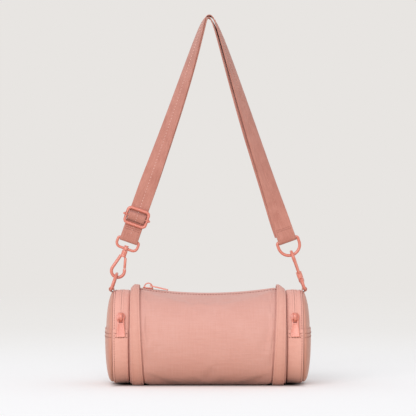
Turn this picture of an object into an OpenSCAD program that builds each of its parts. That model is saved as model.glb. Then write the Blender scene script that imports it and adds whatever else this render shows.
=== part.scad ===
// Crossbody barrel bag: a zipped fabric barrel with a zipped pocket at each end,
// two fabric bands, and a shoulder strap on a D-ring and a swivel hook at each side.
// X runs along the barrel, -Y is the front and Z is up. The bag stands on z = 0.

/* [Barrel] */
// Radius of the fabric barrel
barrel_r = 54.9; // [48:0.1:65]
// How far the barrel's round would reach below the floor if the cloth didn't flatten
floor_sink = 3; // [1:0.5:5]
// Half of the main panel's length
panel_half = 84; // [78:1:100]
// Thickness of the padded panel cloth
panel_wall = 1.2; // [0.8:0.1:2]
// How deep the top sags in the middle
saddle = 7.5; // [2:0.5:9]
// Thickness of the lining cloth
lining_wall = 0.8; // [0.5:0.1:1.2]

/* [End pockets] */
// How much smaller the end pockets' round is than the barrel's
end_step = 4.6; // [3:0.1:8]
// Width of the end pocket's side strip
end_len = 18.2; // [16:0.2:26]
// Thickness of the end pocket's cloth
end_wall = 1.4; // [0.8:0.1:2]
// How far the end panel bulges out
dome_h = 8; // [3:0.5:14]
// Thickness of the lower layer that laps over the strip and the end panel
lap_t = 0.9; // [0.5:0.1:1.5]
// Height of the lap's top edge above the end pocket's axis
lap_rise = 9.3; // [0:0.1:14]
// Thickness of the divider between the main room and an end pocket
divider_t = 1.2; // [0.8:0.1:2]

/* [Bands] */
// Width of a band at the top
band_top_w = 9.6; // [6:0.1:10]
// Width of a band at the bottom
band_bottom_w = 12.6; // [8:0.1:15]
// Thickness of a band
band_t = 1.5; // [1:0.1:2]

/* [Zips] */
// Half of the zip width that shows between the folded edges
zip_show = 3.2; // [2.6:0.1:4]
// Half of the whole tape's width
tape_half = 9; // [7:0.5:11]
// Thickness of the tape
tape_t = 0.8; // [0.5:0.1:1.2]
// Width of the slit between the tapes
slit_w = 1.1; // [0.9:0.1:1.6]
// Length of a slider
slider_len = 11; // [9:0.5:14]
// Width of a slider
slider_w = 9.4; // [8:0.2:11]
// Height of a slider's bridge above its plate
bridge_h = 5.2; // [4.6:0.1:7]
// Length of a pull from its hinge
pull_len = 20; // [14:0.5:24]
// Width of a pull at its free end
pull_w = 9.5; // [7:0.5:12]
// Thickness of a pull
pull_t = 1.3; // [1:0.1:1.5]

/* [Strap hardware] */
// Thickness of the ring wire
ring_wire = 3.3; // [2.6:0.1:3.8]
// Height of a D-ring between its bar and its arc, on the wire's centre
ring_h = 17.6; // [16:0.2:22]
// Thickness of the hook's wire
hook_wire = 3.5; // [3:0.1:3.8]
// Length of a hook from its swivel to its round end, on the wire's centre
hook_len = 32.8; // [30:0.2:40]
// Radius of a hook's round end, on the wire's centre
hook_r = 7.1; // [6:0.1:8]
// Thickness of the swivel eye's wire
eye_wire = 3; // [2.4:0.1:3.4]
// Height of the swivel eye between its bars, on the wire's centre
eye_h = 10.4; // [9.5:0.1:14]

/* [Strap] */
// Width of the webbing
strap_w = 20; // [18:0.5:25]
// Thickness of the doubled webbing
strap_t = 2.6; // [2:0.1:3.2]
// Thickness of one ply where the webbing is folded round a bar
ply_t = 1.6; // [1:0.1:1.8]
// Height of the strap's highest point
strap_top = 402.6; // [380:1:520]
// How far each side of the strap leans from upright, in degrees
strap_lean = 19.5; // [17:0.5:21]
// Distance of the adjuster above the swivel eye's bar, along the strap
adjuster_at = 26; // [22:0.5:36]
// Thickness of the adjuster's wire
adjuster_wire = 3.3; // [2.6:0.1:3.6]

/* [Hidden] */
$fn = 48;

// Colours
cloth = "#E3A89D";
cloth_shade = "#CF9084";
trim = "#DFA094";
webbing = "#C98D82";
metal = "#EE9480";
inner = "#B98077";

// Clearances
gap = 0.3;            // between cloth layers and between loose metal pieces
run_gap = 0.06;       // round a swivel post or a rivet
lap_gap = 0.2;        // under a sewn-on layer
cut = 1;              // how far a cutting shape runs past what it cuts

// Barrel
axis_z = barrel_r - floor_sink;
saddle_spread = 75;   // degrees from the top at which the sag has died away
panel_turns = 36;     // steps round the panel
zip_r = (panel_half * panel_half + saddle * saddle) / (2 * saddle);
edge_angle = asin(zip_show / barrel_r);
edge_z = axis_z + barrel_r * cos(edge_angle);   // top edge of the panel beside the zip's ends
zip_cz = edge_z - saddle + zip_r;               // height of the zip arc's centre
band_rest = band_t + 2 * lap_gap;               // height of the panel over the floor under a band
flat_in = 21;
flat_half = panel_half - flat_in;               // half of the length that lies on the floor
lifted_in = 16.5;
lifted_half = panel_half - lifted_in;           // from here on the panel is clear of the floor
room_half = panel_half - divider_t - 2 * gap;   // half of the main room's length

// End pockets
end_r = barrel_r - end_step;
end_lift = 2.2;                                 // height of the pockets over the floor
end_z = end_r + end_lift;                       // height of the pockets' axis
lap_top = end_z + lap_rise;                     // height of the lap's top edge
end_x = panel_half + gap;                       // inner edge of the side strip
rim_x = end_x + end_len;                        // outer edge of the side strip
end_zip_x = end_x + end_len / 2;
dome_in = 2.6;
dome_r = end_r - dome_in;                       // radius of the bulge's foot
dome_turns = 9;                                 // steps from the foot of the bulge to its middle
zip_low = asin((lap_top - end_z) / end_r);      // elevation at which an end zip starts
end_tape_half = 5.5;                            // half of an end zip's tape
tape_over = 6;                                  // degrees by which its tape runs on under the lap
binding_w = 3;
binding_t = 1;

// Bands
band_turns = 48;
band_top_in = 9.4;
band_inner_top = panel_half - band_top_in;      // inner edge at the top, from the middle
band_bottom_in = 14.6;
band_inner_bottom = panel_half - band_bottom_in;

// Zips
coil_w = 1.5;
coil_h = 1.2;
tape_slope = 1;                                 // how far the main tape's outer edge lies deeper
fold_drop = panel_wall + lap_gap;               // depth of the main tape under the folded edge
end_drop = end_wall + lap_gap;                  // and of an end zip's tape
plate_t = 1.3;
plate_z = gap;                                  // the slider rides this far over the cloth
plate_top = plate_z + plate_t;
under_t = 1;                                    // thickness of the slider's lower plate
post_play = 0.25;                               // each side of the post, in the slit
post_w = slit_w - 2 * post_play;
post_len = 3;
plate_shares = [[0.55, -1], [0.8, -0.6], [1, 0.1], [0.9, 0.55], [0.5, 1]];
bridge_w = 3;
bridge_t = 1.3;
bridge_in = 0.5;                                // the bridge's feet from the plate's ends
hinge_back = 2;                                 // pull hinge behind the slider's middle
hinge_rise = 2;
hinge_z = plate_top + hinge_rise;               // pull hinge over the cloth
pull_bar_r = 0.8;
pull_hole_w = 4.2;
pull_hole_len = 5.2;
pull_neck_w = 7.2;
pull_corner = 0.9;
pull_rim = 1.3;
pull_sunk = 0.25;
main_slider_in = 18.5;                          // the closed slider from the panel's end
main_slider_x = main_slider_in - panel_half;
end_slider_e = 25.4;                            // elevation of the end sliders, in degrees
main_pull_dip = 5.5;                            // how far each pull lies in towards the cloth
end_pull_dip = 15.5;

// Strap hardware, laid out along a line that leans up from the bag's corner
bar_out = 3;
bar_x = rim_x + bar_out;                        // bar that the bag's tab holds
bar_up = 0.7;
bar_z = end_z + end_r + bar_up;
web_play = 0.15;                                // each side of the webbing, in a ring
ring_half = (strap_w + ring_wire) / 2 + web_play;
eye_half = (strap_w + eye_wire) / 2 + gap;
link_gap = 0.35;
link = (ring_wire + hook_wire) / 2 + link_gap;  // between the centres of two linked wires
chain_len = ring_h - link + hook_len + eye_h;
tab_t = 0.9;
tab_lean = 35;
tab_foot = 3.5;
tab_in = 1.5;
tab_w = strap_w - 2 * tab_in;
ring_heel = 2.2;                                // the D-ring's corners
eye_corner = 5;
eye_heel = 2.2;
boss_r = 3;
boss_h = 3.8;
post_r = 1.5;
head_r = 2.4;
head_h = 1.3;
block_r = 3.1;
block_from = boss_h / 2 + gap;
block_to = 9.6;
rivet_at = 6.4;
rivet_r = 1;
arm_sunk = 1.4;
arm_from = block_to - arm_sunk;                 // where the arms start in the block
arm_out = 2.6;
nose_drop = 11.8;
nose_gap = 0.5;                                 // lets the gate's end swing past the nose
gate_end = hook_len - nose_drop;                // where the gate meets the nose
weld = 0.15;                                    // joint between straight and bent wire
gate_wire = 3;
slot_w = 2;
slot_back = 1.9;
ear_r = 1.6;
ear_w = 2;
ear_play = 0.15;                                // each side of the gate's ear, in the slot

// Strap
fold_in = eye_wire / 2 + gap;                   // inner radius of the fold round the eye's bar
ring_fold_in = ring_wire / 2 + gap;
strap_y = -(ring_fold_in + ply_t) + strap_t / 2; // middle of the webbing, front to back
fold_foot = 5;                                  // where a fold's front ply meets the strap
fold_sewn = 13;                                 // where the back ply meets the strap
left_over = 34;
left_return = adjuster_at + left_over;          // length of the back ply, up behind the adjuster
right_return = 16;
straight_len = [60, 17];                        // untwisted stretch above the bar, left and right
strap_reach = [180, 183];                       // how far the curve above goes on as it starts
strap_climb = [20.3, 18.7];                     // and how far it leans there, in degrees
foot_twist = [24, 27];                          // degrees of the twist that are made at its foot
foot_share = 25;                                // how soon they are made
twist_share = [1.5, 1.6];                       // how soon the rest of the quarter turn is made
apex_x = 1.6;                                   // the strap's top lies this far to the right
apex_pull = [9, 9];                             // how round the top is, left and right
strap_steps = 26;
step_share = 1.4;                                // the steps are closer at the foot
adjuster_half = (strap_w + adjuster_wire) / 2 + web_play;
adjuster_corner = 3.6;
adjuster_bar_r = 1.3;
knob_r = 1.3;
knob_base_r = 1.9;
knob_collar = 0.5;                              // from a knob's base to its round end
knob_steps = 6;
hump_room = 0.65;                               // between the bar and the webbing over it
hump_r = adjuster_wire / 2 + adjuster_bar_r + hump_room + ply_t;
hump_play = 1.7;                                // between the webbing and the frame's rails
adjuster_rise = hump_r + adjuster_wire / 2 + hump_play;

// The frame of a line that leans from the bag's corner, on side -1 or 1
function lean_dir(side) = [-side * sin(strap_lean), 0, cos(strap_lean)];
function chain_point(side, s) = [side * bar_x, 0, bar_z] + s * lean_dir(side);

// How far the top is let down at x, and how much of that a point at angle a from the top takes
function dip(x) = saddle - zip_r + sqrt(zip_r * zip_r - x * x);
function from_top(a) = abs(a > 180 ? a - 360 : a);
function dip_share(a) = from_top(a) < saddle_spread ? pow(cos(90 * from_top(a) / saddle_spread), 2) : 0;
function floor_at(x) = band_rest * min(1, max(0, (abs(x) - flat_half) / (lifted_half - flat_half)));

// A point of the barrel's cloth at x and angle a, moved out by off and kept over the floor
function cloth_point(x, a, off, low) = [
    x,
    -(barrel_r + off) * sin(a),
    max(low, axis_z + (barrel_r + off) * cos(a) - dip(x) * dip_share(a))
];

// Angles round the barrel from edge angle a0, in even steps shared by every layer of cloth;
// the first step is no smaller than a share of the rest
edge_share = 0.15;
turn = 360 / panel_turns;
function turns_from(a0) = let (first = ceil(a0 / turn + edge_share)) [
    a0, for (i = [first:panel_turns - first]) i * turn, 360 - a0
];

function c_section(x, a0, out_off, in_off, out_low, in_low) =
    let (turns = turns_from(a0), n = len(turns) - 1)
    concat(
        [for (i = [0:n]) cloth_point(x, turns[i], out_off, out_low)],
        [for (i = [n:-1:0]) cloth_point(x, turns[i], in_off, in_low)]
    );

// Caps of a section with n points: a fan from its first point, or a strip between its halves
function fan_cap(n) = [for (j = [1:n - 2]) [0, j, j + 1]];
function strip_cap(n) = [for (j = [0:n / 2 - 2])
    each [[j, j + 1, n - 2 - j], [j, n - 2 - j, n - 1 - j]]];

// A skin over rings of points, closed at both ends by the cap's triangles
module loft(rings, cap) {
    n = len(rings[0]);
    m = len(rings);
    last = (m - 1) * n;
    polyhedron(
        points = [for (r = rings) each r],
        faces = concat(
            cap,
            [for (i = [0:m - 2], j = [0:n - 1])
                each let (a = i * n + j, b = i * n + (j + 1) % n)
                [[a, a + n, b], [b, a + n, b + n]]],
            [for (c = cap) [last + c[2], last + c[1], last + c[0]]]
        )
    );
}

// A skin over rings of points that run round and meet themselves
module closed_loft(rings) {
    n = len(rings[0]);
    m = len(rings);
    polyhedron(
        points = [for (r = rings) each r],
        faces = [for (i = [0:m - 1], j = [0:n - 1])
            each let (
                a = i * n + j, b = i * n + (j + 1) % n,
                c = ((i + 1) % m) * n + j, d = ((i + 1) % m) * n + (j + 1) % n)
            [[a, c, b], [b, c, d]]]
    );
}

panel_stations = [
    -panel_half, -(panel_half + lifted_half) / 2, -lifted_half, -flat_half,
    for (k = [-3:3]) k * flat_half / 4,
    flat_half, lifted_half, (panel_half + lifted_half) / 2, panel_half
];

module main_panel() color(cloth) {
    rings = [for (x = panel_stations)
        c_section(x, edge_angle, 0, -panel_wall, floor_at(x), floor_at(x) + panel_wall)];
    loft(rings, strip_cap(len(rings[0])));
}

lining_edge = asin((tape_half + 2 * gap) / (barrel_r - panel_wall));
lining_off = -(panel_wall + gap);
lining_low = band_rest + panel_wall + gap;

module main_lining() color(inner) {
    rings = [for (p = panel_stations) let (x = min(room_half, max(-room_half, p)))
        c_section(x, lining_edge, lining_off, lining_off - lining_wall,
            lining_low, lining_low + lining_wall)];
    loft(rings, strip_cap(len(rings[0])));
}

// Revolves a profile of radius and offset along the main zip's arc
module along_main_zip(half_len) {
    sweep = asin(half_len / zip_r);
    translate([0, 0, zip_cz])
        rotate([90, 0, 0])
            rotate([0, 0, 270 - sweep])
                rotate_extrude(angle = 2 * sweep, $fn = 200)
                    children();
}

// Profile of one tape with its coil on the inside: x is the radius from the arc's centre,
// which grows with the depth
module tape_profile() {
    top = zip_r + fold_drop;
    bend = zip_show + gap;
    polygon([
        [top, slit_w / 2], [top, bend], [top + tape_slope, tape_half],
        [top + tape_slope + tape_t, tape_half], [top + tape_t, bend],
        [top + tape_t, slit_w / 2 + coil_w],
        [top + tape_t + coil_h, slit_w / 2 + coil_w],
        [top + tape_t + coil_h, slit_w / 2]
    ]);
}

module main_zip_front_tape() color(cloth_shade)
    along_main_zip(room_half) tape_profile();

module main_zip_back_tape() color(cloth_shade)
    along_main_zip(room_half) mirror([0, 1, 0]) tape_profile();

// Outline of a slider's plate, narrower at the end that carries the pull
module plate_outline() {
    half = [slider_w / 2, slider_len / 2];
    n = len(plate_shares) - 1;
    polygon(concat(
        [for (i = [0:n]) [half[0] * plate_shares[i][0], half[1] * plate_shares[i][1]]],
        [for (i = [n:-1:0]) [-half[0] * plate_shares[i][0], half[1] * plate_shares[i][1]]]
    ));
}

// Half an oval of points from one foot to the other
function oval(a, b, n) = [for (i = [0:n]) [a * cos(180 * i / n), b * sin(180 * i / n)]];
oval_turns = 14;

// A slider: x is its width, the pull is at its -y end and the cloth's surface is z = 0
module slider(drop) color(metal) {
    translate([0, 0, plate_z]) linear_extrude(plate_t) plate_outline();
    under_z = -(drop + tape_t + coil_h + 2 * gap + under_t);
    translate([0, 0, under_z]) linear_extrude(under_t) plate_outline();
    translate([-post_w / 2, slider_len / 2 - post_len - gap, under_z])
        cube([post_w, post_len, plate_top - under_z]);
    bridge_half = slider_len / 2 - bridge_in;
    translate([-bridge_w / 2, 0, plate_top])
        rotate([90, 0, 90])
            linear_extrude(bridge_w) polygon(concat(
                [for (p = oval(bridge_half, bridge_h, oval_turns)) p],
                [for (p = oval(bridge_half - bridge_t, bridge_h - bridge_t, oval_turns)) [-p[0], p[1]]]
            ));
}

// Half of a pull's width at a distance from its hinge
function pull_half(y) = (pull_neck_w + (pull_w - pull_neck_w)
    * max(0, y - pull_hole_len) / (pull_len - pull_hole_len)) / 2;

// The sunk panel on a pull's face, inside its raised rim
module pull_panel() {
    from = pull_hole_len + pull_rim;
    to = pull_len - pull_rim;
    polygon([
        [pull_rim - pull_half(from), -from], [pull_rim - pull_half(to), -to],
        [pull_half(to) - pull_rim, -to], [pull_half(from) - pull_rim, -from]
    ]);
}

// A pull, from its hinge bar at the origin out along -y, dipping in towards the cloth
module pull(tilt) color(metal)
    translate([0, -hinge_back, hinge_z]) rotate([tilt, 0, 0]) {
        neck = pull_neck_w / 2;
        end = pull_w / 2;
        rotate([0, 90, 0])
            cylinder(r = pull_bar_r, h = pull_neck_w, center = true, $fn = 24);
        difference() {
            translate([0, 0, -pull_t / 2]) linear_extrude(pull_t) polygon([
                [-neck, 0], [-neck, -pull_hole_len],
                [-end, pull_corner - pull_len], [pull_corner - end, -pull_len],
                [end - pull_corner, -pull_len], [end, pull_corner - pull_len],
                [neck, -pull_hole_len], [neck, 0]
            ]);
            translate([-pull_hole_w / 2, -pull_hole_len, -cut - pull_t / 2])
                cube([pull_hole_w, pull_hole_len - pull_bar_r / 2, pull_t + 2 * cut]);
            for (s = [-1, 1])
                translate([0, 0, s > 0 ? pull_t / 2 - pull_sunk : -pull_t / 2 - cut])
                    linear_extrude(cut + pull_sunk) pull_panel();
        }
    }

module at_main_slider()
    translate([0, 0, zip_cz])
        rotate([0, -asin(main_slider_x / zip_r), 0])
            translate([0, 0, -zip_r])
                rotate([0, 0, 90]) children();

module at_end_slider(side)
    translate([side * end_zip_x, 0, end_z])
        rotate([90 - end_slider_e, 0, 0])
            translate([0, 0, end_r]) children();

module main_slider() at_main_slider() slider(fold_drop);
module main_pull() at_main_slider() pull(main_pull_dip);

// Revolves a profile of radius and place along X round the pockets' axis,
// from elevation e0 at the front to e1
module round_end(e0, e1) {
    translate([0, 0, end_z])
        rotate([0, 90, 0])
            rotate([0, 0, 270 - e1])
                rotate_extrude(angle = e1 - e0, $fn = 96)
                    children();
}

module end_tube(side, r_out, r_in, x0, x1)
    translate([side > 0 ? x0 : -x1, 0, end_z])
        rotate([0, 90, 0])
            difference() {
                cylinder(r = r_out, h = x1 - x0, $fn = 96);
                translate([0, 0, -cut]) cylinder(r = r_in, h = x1 - x0 + 2 * cut, $fn = 96);
            }

module below_lap(side)
    translate([side > 0 ? end_x - cut : -rim_x - dome_h - 2 * cut, -2 * end_r, -cut])
        cube([end_len + dome_h + 3 * cut, 4 * end_r, lap_top + cut]);

module strip(side) color(cloth) difference() {
    end_tube(side, end_r, end_r - end_wall, end_x, rim_x);
    round_end(zip_low, 180 - zip_low)
        translate([end_r - end_wall - cut, side * end_zip_x - zip_show])
            square([end_wall + 2 * cut, 2 * zip_show]);
}

module lower_strip(side) color(cloth) intersection() {
    end_tube(side, end_r + lap_gap + lap_t, end_r + lap_gap, end_x + band_t, rim_x);
    below_lap(side);
}

module zip_tapes(side) color(cloth_shade) {
    tape_low = zip_low - tape_over;
    for (flip = [0, 1])
        round_end(tape_low, 180 - tape_low)
            translate([0, side * end_zip_x])
                mirror([0, flip, 0])
                    end_tape_profile();
}

// An end zip's tape lies flat inside the strip
module end_tape_profile() {
    top = end_r - end_drop;
    polygon([
        [top, slit_w / 2], [top, end_tape_half], [top - tape_t, end_tape_half],
        [top - tape_t, slit_w / 2 + coil_w], [top - tape_t - coil_h, slit_w / 2 + coil_w],
        [top - tape_t - coil_h, slit_w / 2]
    ]);
}

// Profile of the bulging end panel, radius against height, grown outwards by off
function dome_outer(r, h, off) = [for (i = [0:dome_turns])
    let (a = 90 * i / dome_turns) [(r + off) * cos(a), (h + off) * sin(a)]];

module dome(side, r, h, t, off) {
    translate([side * (rim_x + gap), 0, end_z])
        rotate([0, side * 90, 0])
            rotate_extrude($fn = 96)
                polygon(concat(
                    dome_outer(r, h, off),
                    [for (i = [dome_turns:-1:0]) dome_outer(r - t, h - t, off)[i]]
                ));
}

module end_panel(side) color(cloth) {
    dome(side, dome_r, dome_h, end_wall, 0);
    rim_r = end_r - end_wall - gap;
    translate([side > 0 ? rim_x - gap : -rim_x - gap, 0, end_z])
        rotate([0, 90, 0])
            difference() {
                cylinder(r = rim_r, h = 2 * gap, $fn = 96);
                translate([0, 0, -cut])
                    cylinder(r = dome_r - end_wall, h = 2 * (gap + cut), $fn = 96);
            }
}

module end_pocket(side) color(cloth) intersection() {
    dome(side, dome_r, dome_h, lap_t, lap_gap + lap_t);
    below_lap(side);
}

module divider(side) color(inner) {
    x0 = panel_half - divider_t - gap;
    r = barrel_r - panel_wall - 2 * gap;
    low = band_rest + panel_wall + gap;
    high = edge_z - panel_wall - lap_gap - tape_t - coil_h - 4 * gap;
    intersection() {
        translate([side > 0 ? x0 : -x0 - divider_t, 0, axis_z])
            rotate([0, 90, 0]) cylinder(r = r, h = divider_t, $fn = 96);
        translate([-2 * panel_half, -2 * r, low]) cube([4 * panel_half, 4 * r, high - low]);
    }
}

module seam_binding(side) color(inner)
    end_tube(side, end_r - end_wall - gap, end_r - end_wall - gap - binding_t,
        rim_x - binding_w - gap, rim_x - 2 * gap);

// A band: its section's four corners at angle a from the top
function band_edge(a, top, bottom) = bottom + (top - bottom) * (1 + cos(a)) / 2;
function band_section(side, a) =
    let (
        x_in = band_edge(a, band_inner_top, band_inner_bottom),
        x_out = x_in + band_edge(a, band_top_w, band_bottom_w),
        low = gap,
        high = low + band_t
    )
    [
        cloth_point(side * x_in, a, low, band_t), cloth_point(side * x_in, a, high, 0),
        cloth_point(side * x_out, a, high, 0), cloth_point(side * x_out, a, low, band_t)
    ];

module band(side) color(trim) {
    rings = [for (i = [0:band_turns - 1]) band_section(side, 360 * i / band_turns)];
    closed_loft(side > 0 ? rings : [for (i = [band_turns - 1:-1:0]) rings[i]]);
}

// A fabric loop sewn into the end seam, round the bar at the bag's corner
module tab(side, wire) color(trim) {
    r_in = wire / 2 + gap;
    translate([side * bar_x, tab_w / 2, bar_z])
        rotate([90, 0, 0])
            difference() {
                union() {
                    cylinder(r = r_in + tab_t, h = tab_w, $fn = 40);
                    rotate([0, 0, side > 0 ? 270 - tab_lean : 270 + tab_lean])
                        translate([0, -tab_t, 0]) cube([tab_foot, 2 * tab_t, tab_w]);
                }
                translate([0, 0, -cut]) cylinder(r = r_in, h = tab_w + 2 * cut, $fn = 40);
            }
}

// Straight round wire between two points of a plane
module rod(p, q, r) {
    d = q - p;
    translate([p[0], 0, p[1]])
        rotate([0, atan2(d[0], d[1]), 0])
            cylinder(r = r, h = norm(d), $fn = 32);
}

// Round wire bent in the XZ plane about c, from angle a0 to a1 measured from +X towards +Z
module bend(c, radius, r, a0, a1)
    translate([c[0], 0, c[1]])
        rotate([90, 0, 0])
            rotate([0, 0, a0])
                rotate_extrude(angle = a1 - a0, $fn = 64)
                    translate([radius, 0]) circle(r = r, $fn = 32);

// A D-ring in the XZ plane with its bar at the origin and its arc at the top
module d_ring() color(metal) {
    r = ring_wire / 2;
    leg = ring_h - ring_half;
    rod([ring_heel - ring_half, 0], [ring_half - ring_heel, 0], r);
    for (s = [-1, 1]) {
        corner_from = s > 0 ? 270 : 180;
        bend([s * (ring_half - ring_heel), ring_heel], ring_heel, r, corner_from, corner_from + 90);
        rod([s * ring_half, ring_heel], [s * ring_half, leg], r);
    }
    bend([0, leg], ring_half, r, 0, 180);
}

// A swivel eye in the XZ plane: the bar that the webbing holds is at z = -eye_h and the bored
// boss is round the origin
module eye() color(metal) {
    r = eye_wire / 2;
    difference() {
        union() {
            rod([-eye_half + eye_heel, -eye_h], [eye_half - eye_heel, -eye_h], r);
            for (s = [-1, 1]) {
                turn_on = s > 0 ? 0 : 90;
                bend([s * (eye_half - eye_heel), -eye_h + eye_heel], eye_heel, r,
                    270 - turn_on, 360 - turn_on);
                rod([s * eye_half, -eye_h + eye_heel], [s * eye_half, -eye_corner], r);
                bend([s * (eye_half - eye_corner), -eye_corner], eye_corner, r, turn_on, 90 + turn_on);
            }
            rod([-eye_half + eye_corner, 0], [eye_half - eye_corner, 0], r);
            translate([0, 0, -boss_h / 2]) cylinder(r = boss_r, h = boss_h, $fn = 40);
        }
        translate([0, 0, -boss_h]) cylinder(r = post_r + run_gap, h = 2 * boss_h, $fn = 40);
    }
}

// The hook's arms leave the block and touch the round end
arm_gap = norm([arm_out, hook_len - hook_r - arm_from]);
arm_tilt = asin(hook_r / arm_gap) - atan2(arm_out, hook_len - hook_r - arm_from);
arm_len = sqrt(arm_gap * arm_gap - hook_r * hook_r);
function arm_point(s) = [arm_out + s * sin(arm_tilt), arm_from + s * cos(arm_tilt)];
nose_s = (gate_end - arm_from) / cos(arm_tilt);

// A swivel hook in the XZ plane, its swivel at the origin, its round end at the top
// and its gate on the +X side
module hook() color(metal) {
    r = hook_wire / 2;
    tip = arm_point(arm_len);
    translate([0, 0, -boss_h / 2 - gap - head_h]) cylinder(r = head_r, h = head_h, $fn = 32);
    translate([0, 0, -boss_h / 2 - gap - head_h / 2])
        cylinder(r = post_r, h = boss_h + 2 * gap + head_h, $fn = 32);
    difference() {
        translate([0, 0, block_from]) cylinder(r = block_r, h = block_to - block_from, $fn = 40);
        translate([-slot_back, -slot_w / 2, rivet_at - ear_r - gap])
            cube([slot_back + block_r + cut, slot_w, block_to]);
        translate([0, block_r + cut, rivet_at]) rotate([90, 0, 0])
            cylinder(r = rivet_r + run_gap, h = 2 * (block_r + cut), $fn = 32);
    }
    end = arm_point(arm_len - weld);
    weld_angle = asin(weld / hook_r);
    rod([-arm_out, arm_from], [-end[0], end[1]], r);
    bend([0, hook_len - hook_r], hook_r, r, weld_angle - arm_tilt, 180 + arm_tilt - weld_angle);
    rod(arm_point(nose_s + nose_gap), end, r);
    for (s = [-1, 1]) translate([s * tip[0], 0, tip[1]]) sphere(r = r + weld / 2, $fn = 32);
}

module rivet() color(metal)
    translate([0, block_r, rivet_at]) rotate([90, 0, 0])
        cylinder(r = rivet_r, h = 2 * block_r, $fn = 32);

// The gate closes the hook from the rivet to the nose
module gate() color(metal) {
    r = gate_wire / 2;
    root = arm_point((block_to - arm_from) / cos(arm_tilt) + gap);
    ear = slot_w / 2 - ear_play;
    difference() {
        union() {
            rod(root, arm_point(nose_s), r);
            translate([0, ear, rivet_at]) rotate([90, 0, 0]) cylinder(r = ear_r, h = 2 * ear, $fn = 32);
            translate([0, -ear, rivet_at])
                rotate([0, atan2(root[0], root[1] - rivet_at), 0])
                    translate([-ear_w / 2, 0, 0])
                        cube([ear_w, 2 * ear, norm([root[0], root[1] - rivet_at]) + r / 2]);
        }
        translate([0, block_r, rivet_at]) rotate([90, 0, 0])
            cylinder(r = rivet_r + run_gap, h = 2 * block_r, $fn = 32);
    }
}

// Places a piece at distance s up the leaning line of one side
module on_chain(side, s)
    translate(chain_point(side, s)) rotate([0, -side * strap_lean, 0]) children();

// The left side: D-ring on the bag, hook on the strap
module bag_ring() on_chain(-1, 0) rotate([0, 0, 90]) d_ring();
left_swivel = ring_h - link + hook_len;
module left_swivel_frame() on_chain(-1, left_swivel) rotate([0, 180, 0]) mirror([1, 0, 0]) children();

// The right side: hook on the bag, D-ring on the strap
right_swivel = eye_h;
module right_swivel_frame() on_chain(1, right_swivel) rotate([0, 0, 90]) children();
module strap_ring() on_chain(1, chain_len) rotate([0, 180, 0]) d_ring();

// The strap's middle line: straight up from each bar, then a curve to the top
strap_foot = chain_point(-1, chain_len);
function bezier(p, t) =
    pow(1 - t, 3) * p[0] + 3 * t * pow(1 - t, 2) * p[1] + 3 * t * t * (1 - t) * p[2] + pow(t, 3) * p[3];
function bezier_slope(p, t) =
    3 * pow(1 - t, 2) * (p[1] - p[0]) + 6 * t * (1 - t) * (p[2] - p[1]) + 3 * t * t * (p[3] - p[2]);
function strap_curve(side) =
    let (
        n = side > 0 ? 1 : 0,
        foot = chain_point(side, chain_len + straight_len[n]),
        climb = [-side * sin(strap_climb[n]), 0, cos(strap_climb[n])],
        apex = [apex_x, 0, strap_top - strap_t / 2]
    )
    [foot, foot + strap_reach[n] * climb, apex + [side * apex_pull[n], 0, 0], apex];
function twist(t, n) = (90 - foot_twist[n]) * pow(1 - t, twist_share[n]) + foot_twist[n] * pow(1 - t, foot_share);
function strap_place(i) = pow(i / strap_steps, step_share);

// The webbing's section, turned by tau, with a groove along each edge between its two plies
groove = 0.5;
thin_edge_share = 0.45;
function strap_section(mid, along, tau) =
    let (
        out = [-along[2], 0, along[0]],
        face = cos(tau) * out - sin(tau) * [0, 1, 0],
        wide = cos(tau) * [0, 1, 0] + sin(tau) * out,
        w = strap_w / 2,
        h = strap_t / 2,
        thin = thin_edge_share * h,
        pts = [
            [-w + groove, 0], [-w, thin], [-w + groove, h], [w - groove, h], [w, thin],
            [w - groove, 0], [w, -thin], [w - groove, -h], [-w + groove, -h], [-w, -thin]
        ]
    )
    [for (p = pts) mid + p[0] * wide + p[1] * face];

function unit(v) = v / norm(v);
strap_off = [0, strap_y, 0];
left_rings = concat(
    [for (s = [fold_foot, straight_len[0] / 2])
        strap_section(strap_foot + s * lean_dir(-1) + strap_off, lean_dir(-1), 90)],
    [for (i = [0:strap_steps - 1]) let (t = strap_place(i))
        strap_section(bezier(strap_curve(-1), t) + strap_off, unit(bezier_slope(strap_curve(-1), t)),
            twist(t, 0))]
);
right_rings = concat(
    [for (i = [strap_steps:-1:0]) let (t = strap_place(i))
        strap_section(bezier(strap_curve(1), t) + strap_off, -unit(bezier_slope(strap_curve(1), t)),
            twist(t, 1))],
    [for (s = [straight_len[1] / 2, fold_foot])
        strap_section(chain_point(1, chain_len + s) + strap_off, -lean_dir(1), 90)]
);

module strap() color(webbing) loft(concat(left_rings, right_rings), fan_cap(len(left_rings[0])));

// A ply of webbing that goes round a bar and back up behind the strap: y is depth, x is height
module fold(side, r_in, ply_len) color(webbing) {
    r_out = r_in + ply_t;
    front = strap_y - strap_t / 2;
    back = strap_y + strap_t / 2;
    turns = 12;
    on_chain(side, chain_len)
        translate([-strap_w / 2, 0, 0])
            rotate([90, 0, 90])
                linear_extrude(strap_w) polygon(concat(
                    [[front, fold_foot]],
                    [for (i = [0:turns]) let (a = 180 + 180 * i / turns) r_out * [cos(a), sin(a)]],
                    [[back + ply_t, fold_sewn], [back + ply_t, ply_len], [back, ply_len], [back, fold_sewn]],
                    [for (i = [turns:-1:0]) let (a = 180 + 180 * i / turns) r_in * [cos(a), sin(a)]],
                    [[front + ply_t, fold_foot]]
                ));
}

// The adjuster stands on the strap's front, its middle at the origin
adjuster_y = strap_y - strap_t / 2 - gap - adjuster_wire / 2;
module at_adjuster() on_chain(-1, chain_len + adjuster_at) children();

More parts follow.
